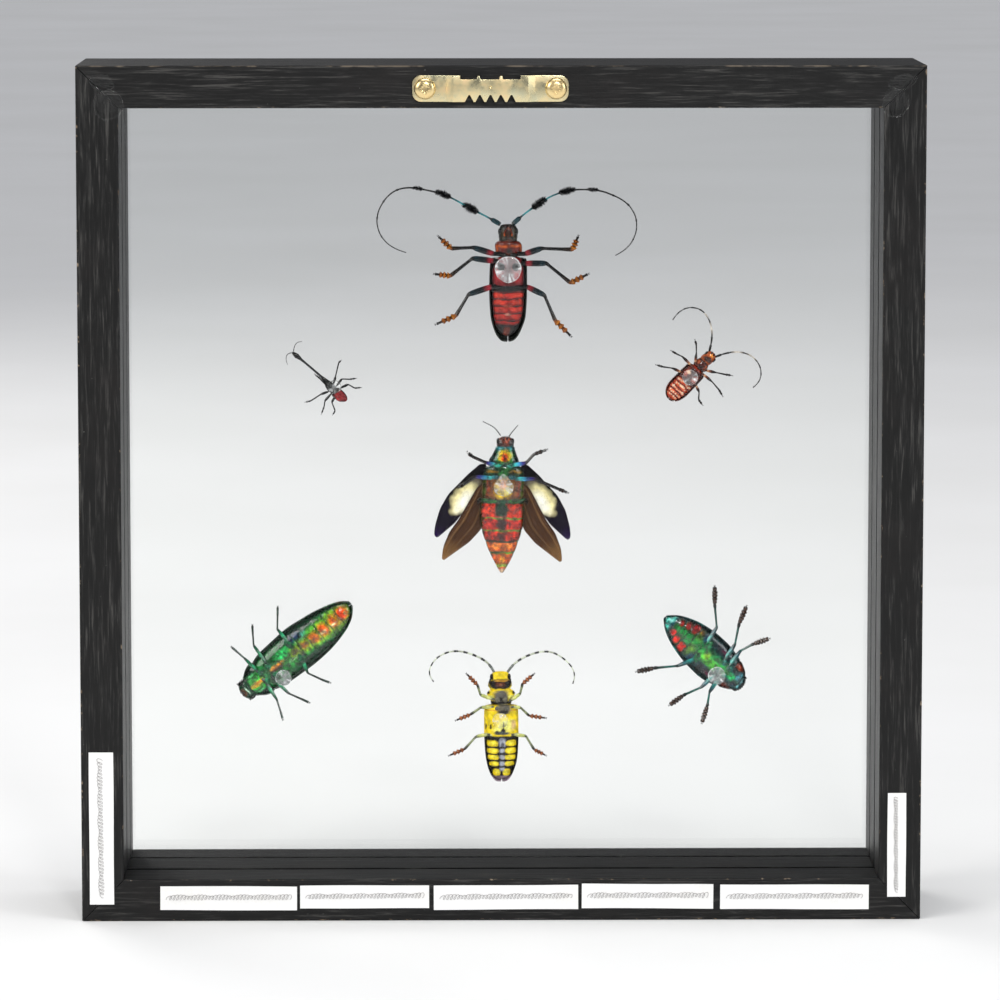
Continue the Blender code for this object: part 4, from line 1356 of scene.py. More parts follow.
# %% Giraffe weevil
RISE = 1.7
NECK = [
    (19.8, 0.25, 0.22, -0.9), (19.1, 0.6, 0.5, -0.85), (17.8, 0.85, 0.7, -0.8),
    (16.6, 0.75, 0.62, -0.75), (15.6, 0.5, 0.45, -0.72), (12, 0.40, 0.38, -0.65),
    (8, 0.40, 0.38, -0.6), (5.6, 0.52, 0.5, -0.65), (4.2, 0.78, 0.7, -0.7),
    (3.2, 1.05, 0.95, -0.85), (2.0, 1.5, 1.25, -1.1), (0.2, 1.62, 1.4, -1.3),
    (-1.2, 1.4, 1.25, -1.4),
]
HIND = [
    (-0.9, 1.3, 1.1, -1.4), (-1.7, 1.95, 1.6, -1.4), (-3.2, 2.1, 1.65, -1.4),
    (-4.8, 1.95, 1.55, -1.4), (-6.1, 1.25, 1.05, -1.2), (-6.9, 0.4, 0.35, -1.1),
]
shell_parts = [
    plate("neck", NECK, RISE, (10, 10, 10), [
        ((50, 50, 56), "stripe", 5, 15, 0.25, 0.2),
        ((52, 50, 54), "spot", -0.9, 17.8, 0.3, 0.8, 0.6),
    ], (15.7, 4.4, 0.6), 28, 0.35, 0.1),
    plate("hind", HIND, RISE, (140, 14, 24), [
        # The pale pink spot on the red hind body is a painted highlight.
        ((40, 8, 12), "band", -2.0, -0.6, 0.6), ((205, 60, 66), "spot", -1.9, -3.6, 0.8, 1.3, 0.7),
        ((44, 8, 10), "rim", -7, -1, 0.82, 0.2), ((60, 8, 12), "back"),
    ], (-3.0, -4.4), 32, 0.3, 0.1),
    ball((-1.5, RISE - 0.1, 17.6), (0.28, 0.34, 0.42), INK),
    ball((-0.1, RISE - 0.1, 17.6), (0.28, 0.34, 0.42), INK),
]
for side in (-1, 1):
    for x, z in ((0.55, 1.2), (0.6, -0.1), (0.65, -1.4)):
        shell_parts.append(ball((-1.2 + side * x, 0.55, z), (0.5, 0.42, 0.5), (16, 16, 17)))
LEG_STYLE = [
    (0.0, 0.6, INK), (0.3, 0.95, (18, 18, 20)), (0.75, 1.05, (22, 22, 25)), (1.0, 0.65, INK),
    (1.1, 0.5, (24, 24, 26)), (1.9, 0.55, (18, 18, 20)), (2.0, 0.5, INK), (2.3, 0.75, (22, 22, 24)),
    (2.4, 0.45, INK), (2.7, 0.75, (20, 20, 22)), (2.8, 0.4, INK), (3.0, 0.45, INK),
]
LEGS = [
    (-1, -2.3, 0.6, (1.6, 3.8, 2.4), (110, 96, 90)),
    (1, 0.7, 0.9, (2.4, 5.4, 1.1), (28, 28, -5)),
    (1, 0.9, -0.4, (2.9, 2.8, 2.4), (3, -51, -40)),
    (1, 0.9, -2.0, (3.2, 2.8, 2.3), (-24, -78, -42)),
    (-1, -2.9, 0.4, (2.9, 4.5, 2.0), (28, 16, 37)),
    (-1, -2.9, -0.9, (3.4, 2.2, 2.8), (0, -33, -21)),
    (-1, -2.6, -2.6, (2.5, 3.4, 1.6), (-12, -63, -8)),
]
FEELERS = [
    (-1, -0.9, 19.6, 2.1, (35, -30, -60)),
    (1, -0.5, 19.4, 2.0, (36, 10, -45)),
]
limbs = legs(LEGS, 1.2, 0.5, LEG_STYLE)
for side, x, z, step, angles in FEELERS:
    stops = jointed(3 * step, 5, 0.13, 0.2, (40, 40, 44), INK) + [(3 * step, 0.3, INK)]
    limbs.append(feeler(side, x, z, step, angles, RISE, stops))
mount(
    "beetle_giraffe_weevil", -48.6, {"shell": shell_parts, "limbs": limbs}, (HORN_SHELL, LIMB_SKIN),
)
glue_dot("glue_weevil", "beetle_giraffe_weevil", 2.5, seed=2, haze=0.0, streaks=2, rim=0.25)

# %% [markdown]
# ## The small orange longhorn
#
# Orange and rust, flecked with cream, with long banded feelers.

# %% Orange longhorn
RISE = 2.5
BODY = [
    (4.3, 2.0, 1.6, 0), (3.4, 3.3, 2.1, 0), (0, 3.65, 2.3, 0), (-5.5, 3.65, 2.25, 0),
    (-8.4, 3.05, 1.9, 0), (-10.2, 1.9, 1.2, 0.1), (-10.9, 0.5, 0.4, 0.2),
]
CASES = [
    (4.5, 2.5, 1.9, 0), (3.5, 3.9, 2.35, 0), (-1, 4.1, 2.45, 0), (-5.5, 4.15, 2.45, 0),
    (-8.4, 3.65, 2.15, 0), (-10.6, 2.2, 1.35, 0.1), (-11.4, 0.9, 0.6, 0.2),
]
RINGS = (-2.2, -3.9, -5.6, -7.2, -8.7)
CREAM, ORANGE, BRICK, UMBER = (244, 206, 170), (190, 58, 24), (136, 36, 18), (44, 16, 10)
zones = [((84, 26, 16), "band", -2.2, 3.8, 0.8), ((170, 66, 40), "pair", 1.9, 0.6, 0.8, 1.6, 0.8)]
for ring in RINGS:
    zones += [
        (UMBER, "band", ring - 0.25, ring + 0.1, 0.15),
        ((230, 104, 58), "pair", 1.6, ring - 0.8, 1.2, 0.4, 0.9),
    ]
    zones += [
        (CREAM, "pair", at, ring - 0.75 + 0.3 * math.sin(9 * at + ring), 0.28, 0.26, 0.7)
        for at in (0.5, 1.3, 2.2)
    ]
zones += [
    (CREAM, "pair", 2.5, -3.1, 0.5, 0.35, 0.6), (CREAM, "pair", 2.2, -6.4, 0.6, 0.35, 0.6),
    (CREAM, "spot", 0.3, -4.7, 0.7, 0.3, 0.6), (CREAM, "spot", -1.4, 0.9, 0.6, 0.5, 0.6),
    (UMBER, "spot", 0, -2.0, 0.9, 0.5, 0.6), (UMBER, "rim", -12, 4, 0.90, 0.1), (BRICK, "back"),
]
shell_parts = [
    plate("body", BODY, RISE, ORANGE, zones, RINGS, 40, 0.35, 0.35),
    plate("neck", [
        (7.9, 2.0, 1.6, 0), (7.0, 2.4, 1.8, 0), (5.7, 2.85, 2.05, 0.1), (4.6, 2.6, 2.0, 0),
        (4.0, 2.1, 1.6, 0),
    ], RISE, (74, 26, 16), [
        ((182, 84, 40), "pair", 1.7, 6.0, 0.5, 1.0, 0.6), (UMBER, "spot", 0, 5.2, 1.2, 0.6, 0.6),
        (UMBER, "back"),
    ], (4.9,), 32, 0.35, 0.3),
    plate("head", [
        (12.3, 0.8, 0.7, 0.2), (11.7, 1.6, 1.3, 0.2), (10.2, 2.2, 1.6, 0.2), (8.6, 2.35, 1.75, 0),
        (7.5, 2.0, 1.6, 0),
    ], RISE, (178, 80, 28), [
        ((56, 22, 12), "spot", 0.1, 9.0, 1.7, 1.0, 0.6),
        ((228, 140, 60), "spot", 0.2, 11.0, 0.9, 0.6, 0.6), (UMBER, "back"),
    ], (9.9,), 32, 0.35, 0.3),
    wing_cases(
        "cases", CASES, RISE, RISE - 0.35, (84, 34, 20),
        [(CREAM, "pair", 2.4, -2, 0.8, 0.9, 0.6), (BRICK, "pair", 2.2, -7, 1.2, 2, 0.8)], thick=0.3,
        front=0.8,
    ),
]
shell_parts += both_sides(
    ((0.2, 1.9, RISE - 0.2, 10.3), (0.5, 0.85, 0.95), INK),
    ((0.15, 0.5, 1.45, 11.8), (0.35, 0.5, 0.6), UMBER),
    ((0, 1.1, 0.75, 2.2), (0.8, 0.6, 0.8), UMBER),
    ((0, 1.0, 0.9, 5.0), (0.75, 0.6, 0.65), (74, 24, 14)),
    ((0, 1.9, 0.85, -1.4), (1.6, 0.6, 0.55), (74, 24, 14)),
)
LEG_STYLE = [
    (0.0, 0.6, (90, 44, 26)), (0.12, 0.75, (214, 160, 120)), (0.3, 0.8, (120, 60, 36)),
    (0.6, 0.95, (34, 18, 12)), (1.0, 0.5, INK), (1.15, 0.38, (36, 26, 22)), (1.9, 0.5, INK),
    (2.05, 0.5, INK), (2.3, 0.8, (40, 34, 32)), (2.4, 0.45, INK), (2.65, 0.8, (46, 38, 36)),
    (2.75, 0.35, INK), (3.0, 0.35, INK),
]
LEGS = [
    (-1, -2.4, 5.2, (3.2, 3.4, 1.6), (53, 45, 28)),
    (1, 2.7, 5.9, (3.4, 3.6, 2.4), (32, 33, 36)),
    (-1, -3.0, 3.4, (4.2, 2.6, 2.0), (0, -18, -12)),
    (1, 2.9, 4.1, (4.0, 4.0, 2.6), (4, -5, -16)),
    (-1, -3.7, -1.0, (3.4, 3.4, 2.6), (-20, -36, -27)),
    (1, 3.8, -0.7, (2.6, 2.8, 2.4), (-20, -50, -10)),
]
FEELERS = [
    (-1, -1.2, 11.3, 2.45, (60, 55, 48, 36, 30, 12, -2, -28, -45, -68, -86, -100)),
    (1, 1.5, 11.3, 2.35, (66, 60, 55, 45, 32, 20, 2, -12, -32, -50, -74, -96)),
]
limbs = legs(LEGS, 1.2, 0.66, LEG_STYLE)
for side, x, z, step, angles in FEELERS:
    total = step * len(angles)
    stops = [(0, 0.42, INK), (2.4, 0.5, INK)] + jointed(
        total, 9, 0.28, 0.42, (18, 17, 18), INK, 2.8,
    )
    pale = [
        (
            at, radius,
            (224, 214, 200) if any(abs(at - mark) < 1.0 for mark in (8.6, 14.2)) else colour,
        )
        for at, radius, colour in stops
    ]
    limbs.append(feeler(side, x, z, step, angles, RISE, pale))
mount(
    "beetle_orange_longhorn", 44.2, {"shell": shell_parts, "limbs": limbs}, (HORN_SHELL, LIMB_SKIN),
)
glue_dot("glue_orange", "beetle_orange_longhorn", 2.9, seed=3, haze=0.06, streaks=5, rim=0.9)

# %% [markdown]
# ## The jewel beetle with open wings
#
# Its wings are thin sheets: a grid whose points are laid between a leading and a trailing edge,
# arched a little and then thickened. Painted veins run lengthwise in the folded hind wings, and
# each wing case carries a cream patch.


# %% Wings
ACROSS, ALONG = 40, 90  # how many squares of the grid


def wing(name, leading, trailing, height, arch, ribs, thick, base, zones):
    """A sheet between two edges of (X, Z) points. zones are (colour, kind, numbers).

    vein: share across, width. tip: share along, soft. spot: X, Z, half sizes, lean, soft.
    """
    deselect()
    bpy.ops.mesh.primitive_grid_add(x_subdivisions=ACROSS, y_subdivisions=ALONG, size=1)
    sheet = bpy.context.object
    sheet.name = name
    edges = []
    for edge in (leading, trailing):
        edge = np.array(edge, float)
        long = np.concatenate([[0], np.cumsum(np.linalg.norm(np.diff(edge, axis=0), axis=1))])
        along = np.linspace(0, 1, ALONG + 1)
        line = np.array([np.interp(along * long[-1], long, edge[:, i]) for i in (0, 1)])
        soft = [np.convolve(np.pad(row, 3, "edge"), np.ones(7) / 7, "valid") for row in line]
        edges.append(np.array(soft).T)
    shares = []
    for point in sheet.data.vertices:
        across, along = point.co.x + 0.5, point.co.y + 0.5
        place = along * ALONG
        spots = [[np.interp(place, range(ALONG + 1), edge[:, i]) for i in (0, 1)] for edge in edges]
        x, z = (1 - across) * np.array(spots[0]) + across * np.array(spots[1])
        swell = arch * 4 * across * (1 - across) * math.sin(math.pi * min(along + 0.12, 1) ** 0.8)
        fold = ribs * math.cos(across * math.tau * 4.5) * (0.3 + 0.7 * along)
        point.co = (x, height + swell + fold, z)
        shares.append((across, along))
    at = points_of(sheet)
    shares = np.array(shares)
    colours = np.tile(np.array(tone(*base)), (len(at), 1))
    shake = np.array([noise.noise_vector(Vector(p) * 0.5) for p in at])
    for colour, kind, *numbers in zones:
        if kind == "vein":
            mask = np.clip(1 - np.abs(shares[:, 0] - numbers[0]) / numbers[1], 0, 1)
        elif kind == "tip":
            mask = np.clip((shares[:, 1] - numbers[0]) / numbers[1], 0, 1)
        else:
            x, z, half_long, half_wide, lean, soft = numbers
            c, s = math.cos(math.radians(lean)), math.sin(math.radians(lean))
            dx, dz = at[:, 0] - x + 0.9 * shake[:, 0], at[:, 2] - z + 0.9 * shake[:, 1]
            far = np.hypot((dx * c + dz * s) / half_long, (dz * c - dx * s) / half_wide)
            mask = np.clip((1 - far) / soft + 0.5, 0, 1)
        mask = mask[:, None]
        colours = colours * (1 - mask) + np.array(tone(*colour)) * mask
    give_tint(sheet, colours)
    apply_modifier(sheet, "SOLIDIFY", thickness=thick, offset=0)
    return sheet


def mirrored(piece):
    """A copy of the piece on the other side of X = 0, with its own mesh."""
    take(piece)
    bpy.ops.object.duplicate()
    twin = bpy.context.object
    bpy.ops.transform.mirror(constraint_axis=(True, False, False), center_override=(0, 0, 0))
    bpy.ops.object.transform_apply(location=True, rotation=True, scale=True)
    return twin


# %% Open-winged jewel beetle
RISE = 3.9
BODY = [
    (7.4, 4.6, 3.0, 0), (6.2, 6.9, 3.4, 0), (3, 7.7, 3.6, 0), (-4, 7.95, 3.75, -0.2),
    (-8, 8.2, 3.7, -0.35), (-12, 8.2, 3.5, -0.35), (-16.5, 7.55, 3.15, -0.3),
    (-20.5, 6.3, 2.75, -0.2), (-24.7, 4.75, 2.15, -0.1), (-29.0, 2.6, 1.3, 0),
    (-31.6, 1.15, 0.75, 0), (-32.6, 0.45, 0.4, 0),
]
RINGS = (-6.6, -12.0, -16.5, -20.6, -24.8, -29.4)
FERN, LEAF, BRONZE = (14, 62, 40), (70, 150, 50), (116, 68, 26)
FLAME, EMBER, GOLD = (198, 42, 16), (220, 92, 22), (236, 200, 40)
zones = [
    (BRONZE, "band", -6.2, 4.0, 0.8), (FERN, "band", 3.0, 8.0, 1.0),
    ((40, 110, 50), "spot", 0, 5.0, 1.6, 2.0, 0.8),
    ((140, 104, 34), "pair", 4.4, 5.0, 2.0, 0.5, 0.9),
    ((150, 60, 26), "pair", 5.6, -1.2, 0.5, 3.4, 0.8), ((70, 90, 34), "pair", 7.0, -1, 0.6, 4, 0.8),
    (GOLD, "spot", 0, -1.2, 2.6, 3.2, 0.7), ((236, 130, 30), "spot", 0, 0.4, 1.3, 1.8, 0.8),
    ((250, 236, 120), "spot", 1.6, -1.8, 0.7, 1.0, 0.9), (FERN, "band", -6.9, -5.0, 0.5),
    (LEAF, "pair", 4.8, -5.7, 2.6, 0.5, 0.6), (FLAME, "band", -20.4, -7.0, 0.7),
    (EMBER, "band", -30.0, -20.9, 0.7), ((222, 60, 28), "pair", 4.2, -9.0, 2.2, 1.6, 0.9),
    ((190, 40, 30), "pair", 4.0, -14.0, 2.8, 1.4, 0.9),
    ((240, 134, 50), "pair", 2.2, -22.4, 1.6, 1.0, 0.9),
    ((240, 160, 50), "spot", 0, -27.6, 1.0, 1.2, 0.8), (FERN, "spot", -0.3, -8.8, 2.2, 2.8, 0.4),
    ((64, 20, 18), "spot", -0.2, -14.4, 1.9, 2.2, 0.4),
    ((84, 26, 18), "spot", 0, -18.8, 1.5, 1.5, 0.4),
    ((206, 110, 90), "spot", 0, -11.8, 1.9, 0.28, 0.5), (LEAF, "band", -12.4, -11.9, 0.3),
    ((96, 130, 44), "band", -17.0, -16.3, 0.35), (FERN, "band", -21.1, -20.3, 0.3),
    (LEAF, "band", -25.4, -24.6, 0.4), ((150, 176, 60), "band", -30.4, -29.2, 0.5),
    (FERN, "spot", -1.8, -24.8, 1.8, 0.35, 0.5), ((214, 176, 140), "band", -33, -31.0, 0.6),
    ((36, 84, 36), "rim", -30, -6, 0.92, 0.12), ((20, 50, 60), "back"),
]
shell_parts = [
    plate("body", BODY, RISE, FLAME, zones, RINGS, 48),
    plate("neck", [
        (14.2, 3.3, 2.3, 0.4), (13.0, 3.75, 2.65, 0.35), (11, 4.5, 3.0, 0.2), (8.9, 5.5, 3.35, 0),
        (7.7, 5.6, 3.4, 0), (6.9, 4.6, 3.0, 0),
    ], RISE, (12, 66, 52), [
        ((26, 116, 120), "band", 12.9, 14.4, 0.5),
        ((60, 140, 60), "spot", 0.3, 10.6, 3.1, 2.6, 0.3),
        (GOLD, "spot", 0.1, 10.9, 2.4, 1.9, 0.25),
        ((206, 70, 20), "spot", 0.2, 10.3, 1.3, 1.5, 0.5),
        ((120, 40, 16), "spot", 0.4, 9.3, 0.7, 0.9, 0.6), ((24, 120, 70), "band", 6.4, 8.1, 0.5),
        ((10, 34, 34), "pair", 4.6, 9.6, 0.8, 2.6, 0.8), ((16, 60, 60), "back"),
    ], (8.2, 13.2), 44),
    plate("head", [
        (17.8, 1.1, 0.9, 0.4), (17.3, 2.2, 1.5, 0.4), (16.4, 3.0, 1.9, 0.4), (15, 3.25, 2.2, 0.4),
        (13.8, 3.2, 2.2, 0.4),
    ], RISE, (112, 52, 36), [
        ((176, 84, 56), "spot", 0.6, 16.4, 1.0, 1.0, 0.6),
        ((52, 30, 26), "pair", 1.8, 15.4, 0.8, 1.2, 0.6), ((26, 90, 90), "band", 13.6, 14.4, 0.4),
        ((40, 60, 50), "back"),
    ], (15.4,), 36),
]
shell_parts += both_sides(
    ((0.4, 2.6, RISE - 0.4, 15.9), (0.7, 1.2, 1.3), (24, 16, 15)),
    ((0.4, 0.6, 2.4, 17.1), (0.45, 0.6, 0.6), (70, 30, 24)),
    ((0, 2.4, 0.95, 7.3), (1.7, 0.75, 0.85), (24, 130, 110)),
    ((0, 2.9, 0.9, 3.0), (1.6, 0.7, 0.9), (30, 110, 120)),
    ((0, 4.4, 0.95, -5.5), (3.2, 0.6, 0.5), (30, 92, 44), -8),
)
LEG_STYLE = [
    (0.0, 0.7, (20, 84, 78)), (0.25, 0.85, (70, 196, 196)), (0.5, 0.9, (50, 140, 190)),
    (0.75, 0.8, (52, 44, 140)), (1.0, 0.75, (40, 16, 30)), (1.15, 0.65, INK),
    (1.6, 0.65, (36, 22, 18)), (2.0, 0.65, INK), (2.1, 0.55, INK), (2.3, 0.95, (46, 30, 22)),
    (2.38, 0.6, INK), (2.6, 1.0, (60, 36, 26)), (2.68, 0.55, INK), (2.8, 0.5, INK), (3.0, 0.7, INK),
]
HIND_STYLE = [
    (along, 0.75 * radius, (30, 96, 48) if along < 0.8 else INK)
    for along, radius, colour in LEG_STYLE
]
LEGS = [
    (-1, -2.6, 7.4, (4.1, 5.6, 2.1), (12, 24, 45)),
    (1, 2.9, 7.5, (5.3, 4.2, 4.9), (10, 50, 22)),
    (-1, -3.5, 2.7, (7.0, 5.0, 2.0), (2, -35, -30)),
    (1, 4.2, 2.5, (7.4, 9.0, 3.6), (0, -22, -20)),
    (-1, -3.1, -6.7, (7.4, 6.0, 3.0), (16, -70, -80)),
    (1, 3.1, -6.7, (6.8, 6.0, 3.0), (20, -70, -80)),
]
FEELERS = [
    (-1, -1.3, 17.9, 2.2, (55, 46, 25, 25)),
    (1, 1.6, 17.6, 1.85, (57, 51, 49)),
]
limbs = []
for number, (side, x, z, lengths, angles) in enumerate(LEGS):
    if number < 4:
        limbs += leg(side, x, z, lengths, angles, 3.0, 0.95, LEG_STYLE)
    else:  # the hind shins are folded away under the wings
        limbs += leg(side, x, z, (0.8 * lengths[0], 0.9, 0.7), angles, 1.0, 0.9, HIND_STYLE)
for side, x, z, step, angles in FEELERS:
    limbs.append(
        feeler(
            side, x, z, step, angles, RISE,
            jointed(step * len(angles), 9, 0.16, 0.32, (40, 30, 26), INK, 0.0, 0.4),
        )
    )
CASE_EDGES = ([
    (6.2, 7.0), (8.3, 7.6), (12.7, 3.7), (20, -4), (23, -9.4), (24.7, -15.5), (25.1, -19.2),
    (24.6, -19.9),
], [(5.9, 5.5), (5.6, 1.8), (8.6, -3), (17.5, -14.7), (23.7, -20.2), (24.3, -20.2)])
HIND_EDGES = (
    [(5.0, 2), (9.5, -1), (16, -13), (19.5, -18), (21.6, -23.5), (22.0, -27.5), (21.8, -28.3)],
    [(5.0, 1.0), (5, -6), (7.8, -16.7), (12, -21.5), (17.5, -25.6), (21.2, -28.3), (21.6, -28.4)],
)
case = wing("case", *CASE_EDGES, 5.2, 0.25, 0.0, 0.3, (18, 7, 30), [
    ((8, 6, 12), "spot", 14, 1, 9, 5, -45, 0.8),
    ((120, 112, 94), "spot", 10.6, -1.0, 3.4, 2.8, -52, 0.7),
    ((240, 228, 168), "spot", 14.3, -5.7, 6.3, 3.9, -52, 0.35),
    ((255, 253, 236), "spot", 13.9, -6.8, 4.2, 2.4, -52, 0.9), ((34, 12, 60), "tip", 0.84, 0.12),
    ((16, 10, 18), "vein", 0.0, 0.10), ((58, 50, 44), "vein", 1.0, 0.05),
])
hind = wing("hind_wing", *HIND_EDGES, 4.4, 0.1, 0.10, 0.22, (74, 50, 34), [
    ((54, 34, 22), "vein", 0.02, 0.06), ((60, 38, 24), "vein", 0.3, 0.05),
    ((56, 36, 24), "vein", 0.38, 0.03), ((64, 42, 28), "vein", 0.56, 0.04),
    ((60, 40, 26), "vein", 0.74, 0.04), ((66, 44, 30), "vein", 0.88, 0.03),
    ((118, 86, 54), "vein", 0.2, 0.06), ((104, 76, 50), "vein", 0.65, 0.05),
    ((146, 108, 66), "tip", 0.72, 0.35), ((50, 30, 20), "vein", 0.0, 0.04),
])
wings = [case, mirrored(case), hind, mirrored(hind)]
WING_SHEET = shell("wing_sheet", 0.0, 0.05, 0.5, 1200.0, 0.05, 0.6, specular=0.1)
open_winged = {"shell": shell_parts, "limbs": limbs, "wings": wings}
mount("beetle_open_winged", 1.1, open_winged, (JEWEL_SHELL, JEWEL_LIMB, WING_SHEET))
glue_dot("glue_open", "beetle_open_winged", 3.75, tip=0.2, seed=4, haze=0.05, streaks=6, rim=0.6)

# %% [markdown]
# ## The green jewel beetle
#
# A metal-bright shell that runs from dark green at the rim through leaf green to orange-red spots.

# %% Green jewel beetle
RISE = 4.4
BODY = [
    (6.2, 5.6, 3.3, 4.6), (5.0, 6.5, 3.6, 4.6), (2, 7.0, 3.8, 4.6), (-5, 7.5, 4.1, 4.6),
    (-11.2, 7.65, 4.2, 4.5), (-19.8, 6.95, 3.8, 4.2), (-27.9, 5.3, 3.0, 4.2),
    (-32.4, 3.3, 2.0, 4.4), (-34.4, 1.6, 1.0, 4.7), (-34.9, 0.4, 0.3, 4.8),
]
CASES = [
    (6.6, 6.3, 3.5, 4.6), (2, 7.6, 4.0, 4.6), (-5, 8.15, 4.25, 4.55), (-11.2, 8.45, 4.35, 4.5),
    (-19.8, 7.75, 4.0, 4.2), (-27.9, 6.05, 3.2, 4.2), (-33, 3.9, 2.2, 4.4), (-36.1, 1.1, 0.8, 4.8),
]
RINGS = (-11.6, -15.8, -20.2, -24.9, -29.6)
PINE, GRASS, LIME, JADE = (8, 58, 36), (38, 158, 52), (146, 196, 36), (60, 214, 110)
zones = [
    (GRASS, "pair", 2.6, -18, 1.6, 12, 0.9), (LIME, "spot", -1.7, -20, 0.9, 8, 0.9),
    ((40, 214, 80), "spot", 2.6, -17, 0.9, 6, 0.9), ((84, 170, 50), "stripe", -30, -12, 0.25, 0.3),
    (PINE, "pair", 5.6, -14, 1.8, 9, 0.9), (JADE, "spot", 2.1, -5.2, 1.5, 2.6, 1.2),
    ((90, 200, 170), "spot", 3.4, -14.6, 1.2, 1.6, 1.2),
    ((150, 226, 150), "spot", -1.8, -8.2, 0.5, 2.6, 0.8),
    ((16, 40, 70), "spot", 4.4, -12.0, 1.6, 3.0, 0.9),
    ((16, 40, 66), "spot", -2.4, -11.2, 1.0, 1.0, 0.6),
    ((84, 36, 18), "spot", -0.6, -0.6, 0.8, 2.8, 0.5),
    ((220, 140, 36), "spot", 0.3, -0.8, 0.5, 3.2, 0.6),
    ((44, 120, 40), "spot", -0.3, -6.4, 0.9, 2.4, 0.8),
]
for at, width, tall, colour in (
    (-9.6, 1.1, 1.4, (92, 84, 22)), (-13.6, 1.4, 1.7, (156, 92, 26)),
    (-18.0, 1.9, 1.9, (214, 106, 30)), (-22.6, 2.2, 2.0, (236, 96, 26)),
    (-27.3, 2.3, 2.0, (232, 104, 40)), (-31.2, 2.3, 2.1, (240, 72, 16)),
):
    zones.append(((150, 184, 30), "spot", 0.0, at, width + 0.9, tall + 0.7, 1.0))
    zones.append((colour, "spot", 0.0, at, width, tall, 0.7))
# Painted highlights: small pale spots on the orange belly plates.
zones += [
    ((250, 214, 150), "spot", -0.7, -21.6, 0.4, 1.1, 0.7),
    ((252, 220, 160), "spot", -0.8, -26.4, 0.4, 1.0, 0.7),
    ((250, 190, 110), "spot", -0.6, -32.2, 0.6, 0.5, 0.7),
]
zones += [((24, 74, 30), "band", ring - 0.25, ring + 0.1, 0.2) for ring in RINGS]
zones += [(PINE, "rim", -36, 7, 0.86, 0.16), ((14, 80, 44), "back")]
shell_parts = [
    plate("body", BODY, RISE, (22, 108, 50), zones, RINGS, 48),
    plate("neck", [
        (12.7, 3.9, 2.6, 4.7), (11.5, 4.9, 2.9, 4.7), (8.8, 6.5, 3.4, 4.6), (6.8, 7.0, 3.6, 4.6),
        (5.6, 6.6, 3.5, 4.6), (5.2, 5.4, 3.0, 4.6),
    ], RISE, (16, 84, 44), [
        (GRASS, "stripe", 5, 13, 0.42, 0.3), ((70, 214, 76), "spot", -0.4, 8.4, 1.9, 3.8, 0.5),
        (GOLD, "spot", -0.5, 8.6, 0.9, 3.5, 0.4),
        ((222, 140, 26), "spot", -0.3, 7.6, 0.45, 2.3, 0.6),
        ((8, 40, 30), "pair", 4.8, 8.6, 1.0, 3.0, 0.8),
        ((96, 200, 120), "pair", 3.3, 9.6, 0.3, 1.8, 0.8), (PINE, "band", 11.6, 12.9, 0.5),
        (PINE, "back"),
    ], (6.4, 11.9), 44),
    plate("head", [
        (16.3, 1.3, 1.1, 4.5), (15.7, 2.7, 1.8, 4.6), (14.4, 3.8, 2.4, 4.6), (13.2, 4.2, 2.7, 4.7),
        (12.1, 4.0, 2.6, 4.7),
    ], RISE, (18, 70, 44), [
        ((104, 58, 24), "spot", 0, 15.2, 1.5, 1.0, 0.6),
        ((150, 90, 40), "spot", 0.4, 15.7, 0.6, 0.4, 0.6),
        ((200, 240, 210), "spot", -0.2, 13.6, 1.5, 0.22, 0.7), (PINE, "back"),
    ], (14.0,), 36),
    wing_cases("cases", CASES, RISE, RISE - 0.5, (10, 62, 38), [
        ((40, 150, 80), "pair", 5.4, -14, 0.5, 14, 1.2),
        ((110, 60, 20), "pair", 3.4, -16, 0.8, 14, 1.2),
    ], thick=0.45, front=1.0),
]
shell_parts += both_sides(
    ((4.65, 3.25, RISE - 0.6, 13.7), (0.85, 1.5, 1.6), (10, 16, 12)),
    ((4.6, 0.7, 2.9, 15.6), (0.5, 0.7, 0.7), (60, 34, 18)),
    ((4.6, 1.9, 1.2, 5.6), (1.3, 0.9, 1.1), (26, 110, 70)),
    ((4.6, 2.1, 1.0, 1.8), (1.4, 0.85, 1.2), (24, 112, 74)),
    ((4.5, 2.8, 1.0, -9.4), (3.0, 0.85, 1.3), (20, 96, 60), -14),
)
LEG_STYLE = [
    (0.0, 0.6, (10, 56, 38)), (0.35, 0.72, (50, 180, 120)), (0.7, 0.7, (20, 110, 74)),
    (1.0, 0.5, (8, 34, 24)), (1.12, 0.38, (24, 56, 42)), (1.9, 0.42, (20, 36, 28)),
    (2.02, 0.5, INK), (2.2, 0.5, (40, 76, 60)), (2.4, 0.44, (30, 50, 42)),
    (2.6, 0.52, (40, 70, 56)), (2.8, 0.5, (46, 66, 56)), (3.0, 0.55, (50, 62, 54)),
]
LEGS = [
    (1, 8.4, 6.1, (5.8, 4.4, 2.0), (5, 8, 6)),
    (1, 8.8, 1.6, (7.2, 5.2, 2.2), (-5, -36, -38)),
    (1, 9.4, -9.6, (5.6, 5.8, 2.4), (1, -41, -41)),
    (-1, 1.8, 6.4, (6.7, 5.2, 2.2), (8, 22, 24)),
    (-1, 0.6, 3.2, (6.6, 5.4, 2.6), (-6, -27, -27)),
    (-1, 1.5, -9.7, (6.5, 6.0, 2.6), (18, -26, -32)),
]
FEELERS = [
    (1, 6.0, 15.0, 1.4, (10, -1)),
    (-1, 3.4, 15.0, 1.4, (10, 0)),
]
limbs = legs(LEGS, 3.0, 0.95, LEG_STYLE)
for side, x, z, step, angles in FEELERS:
    limbs.append(
        feeler(
            side, x, z, step, angles, RISE,
            jointed(step * len(angles), 5, 0.2, 0.36, (20, 40, 32), INK, 0.0, 0.3),
        )
    )
mount(
    "beetle_green_jewel", -129.6, {"shell": shell_parts, "limbs": limbs}, (JEWEL_SHELL, JEWEL_LIMB),
)
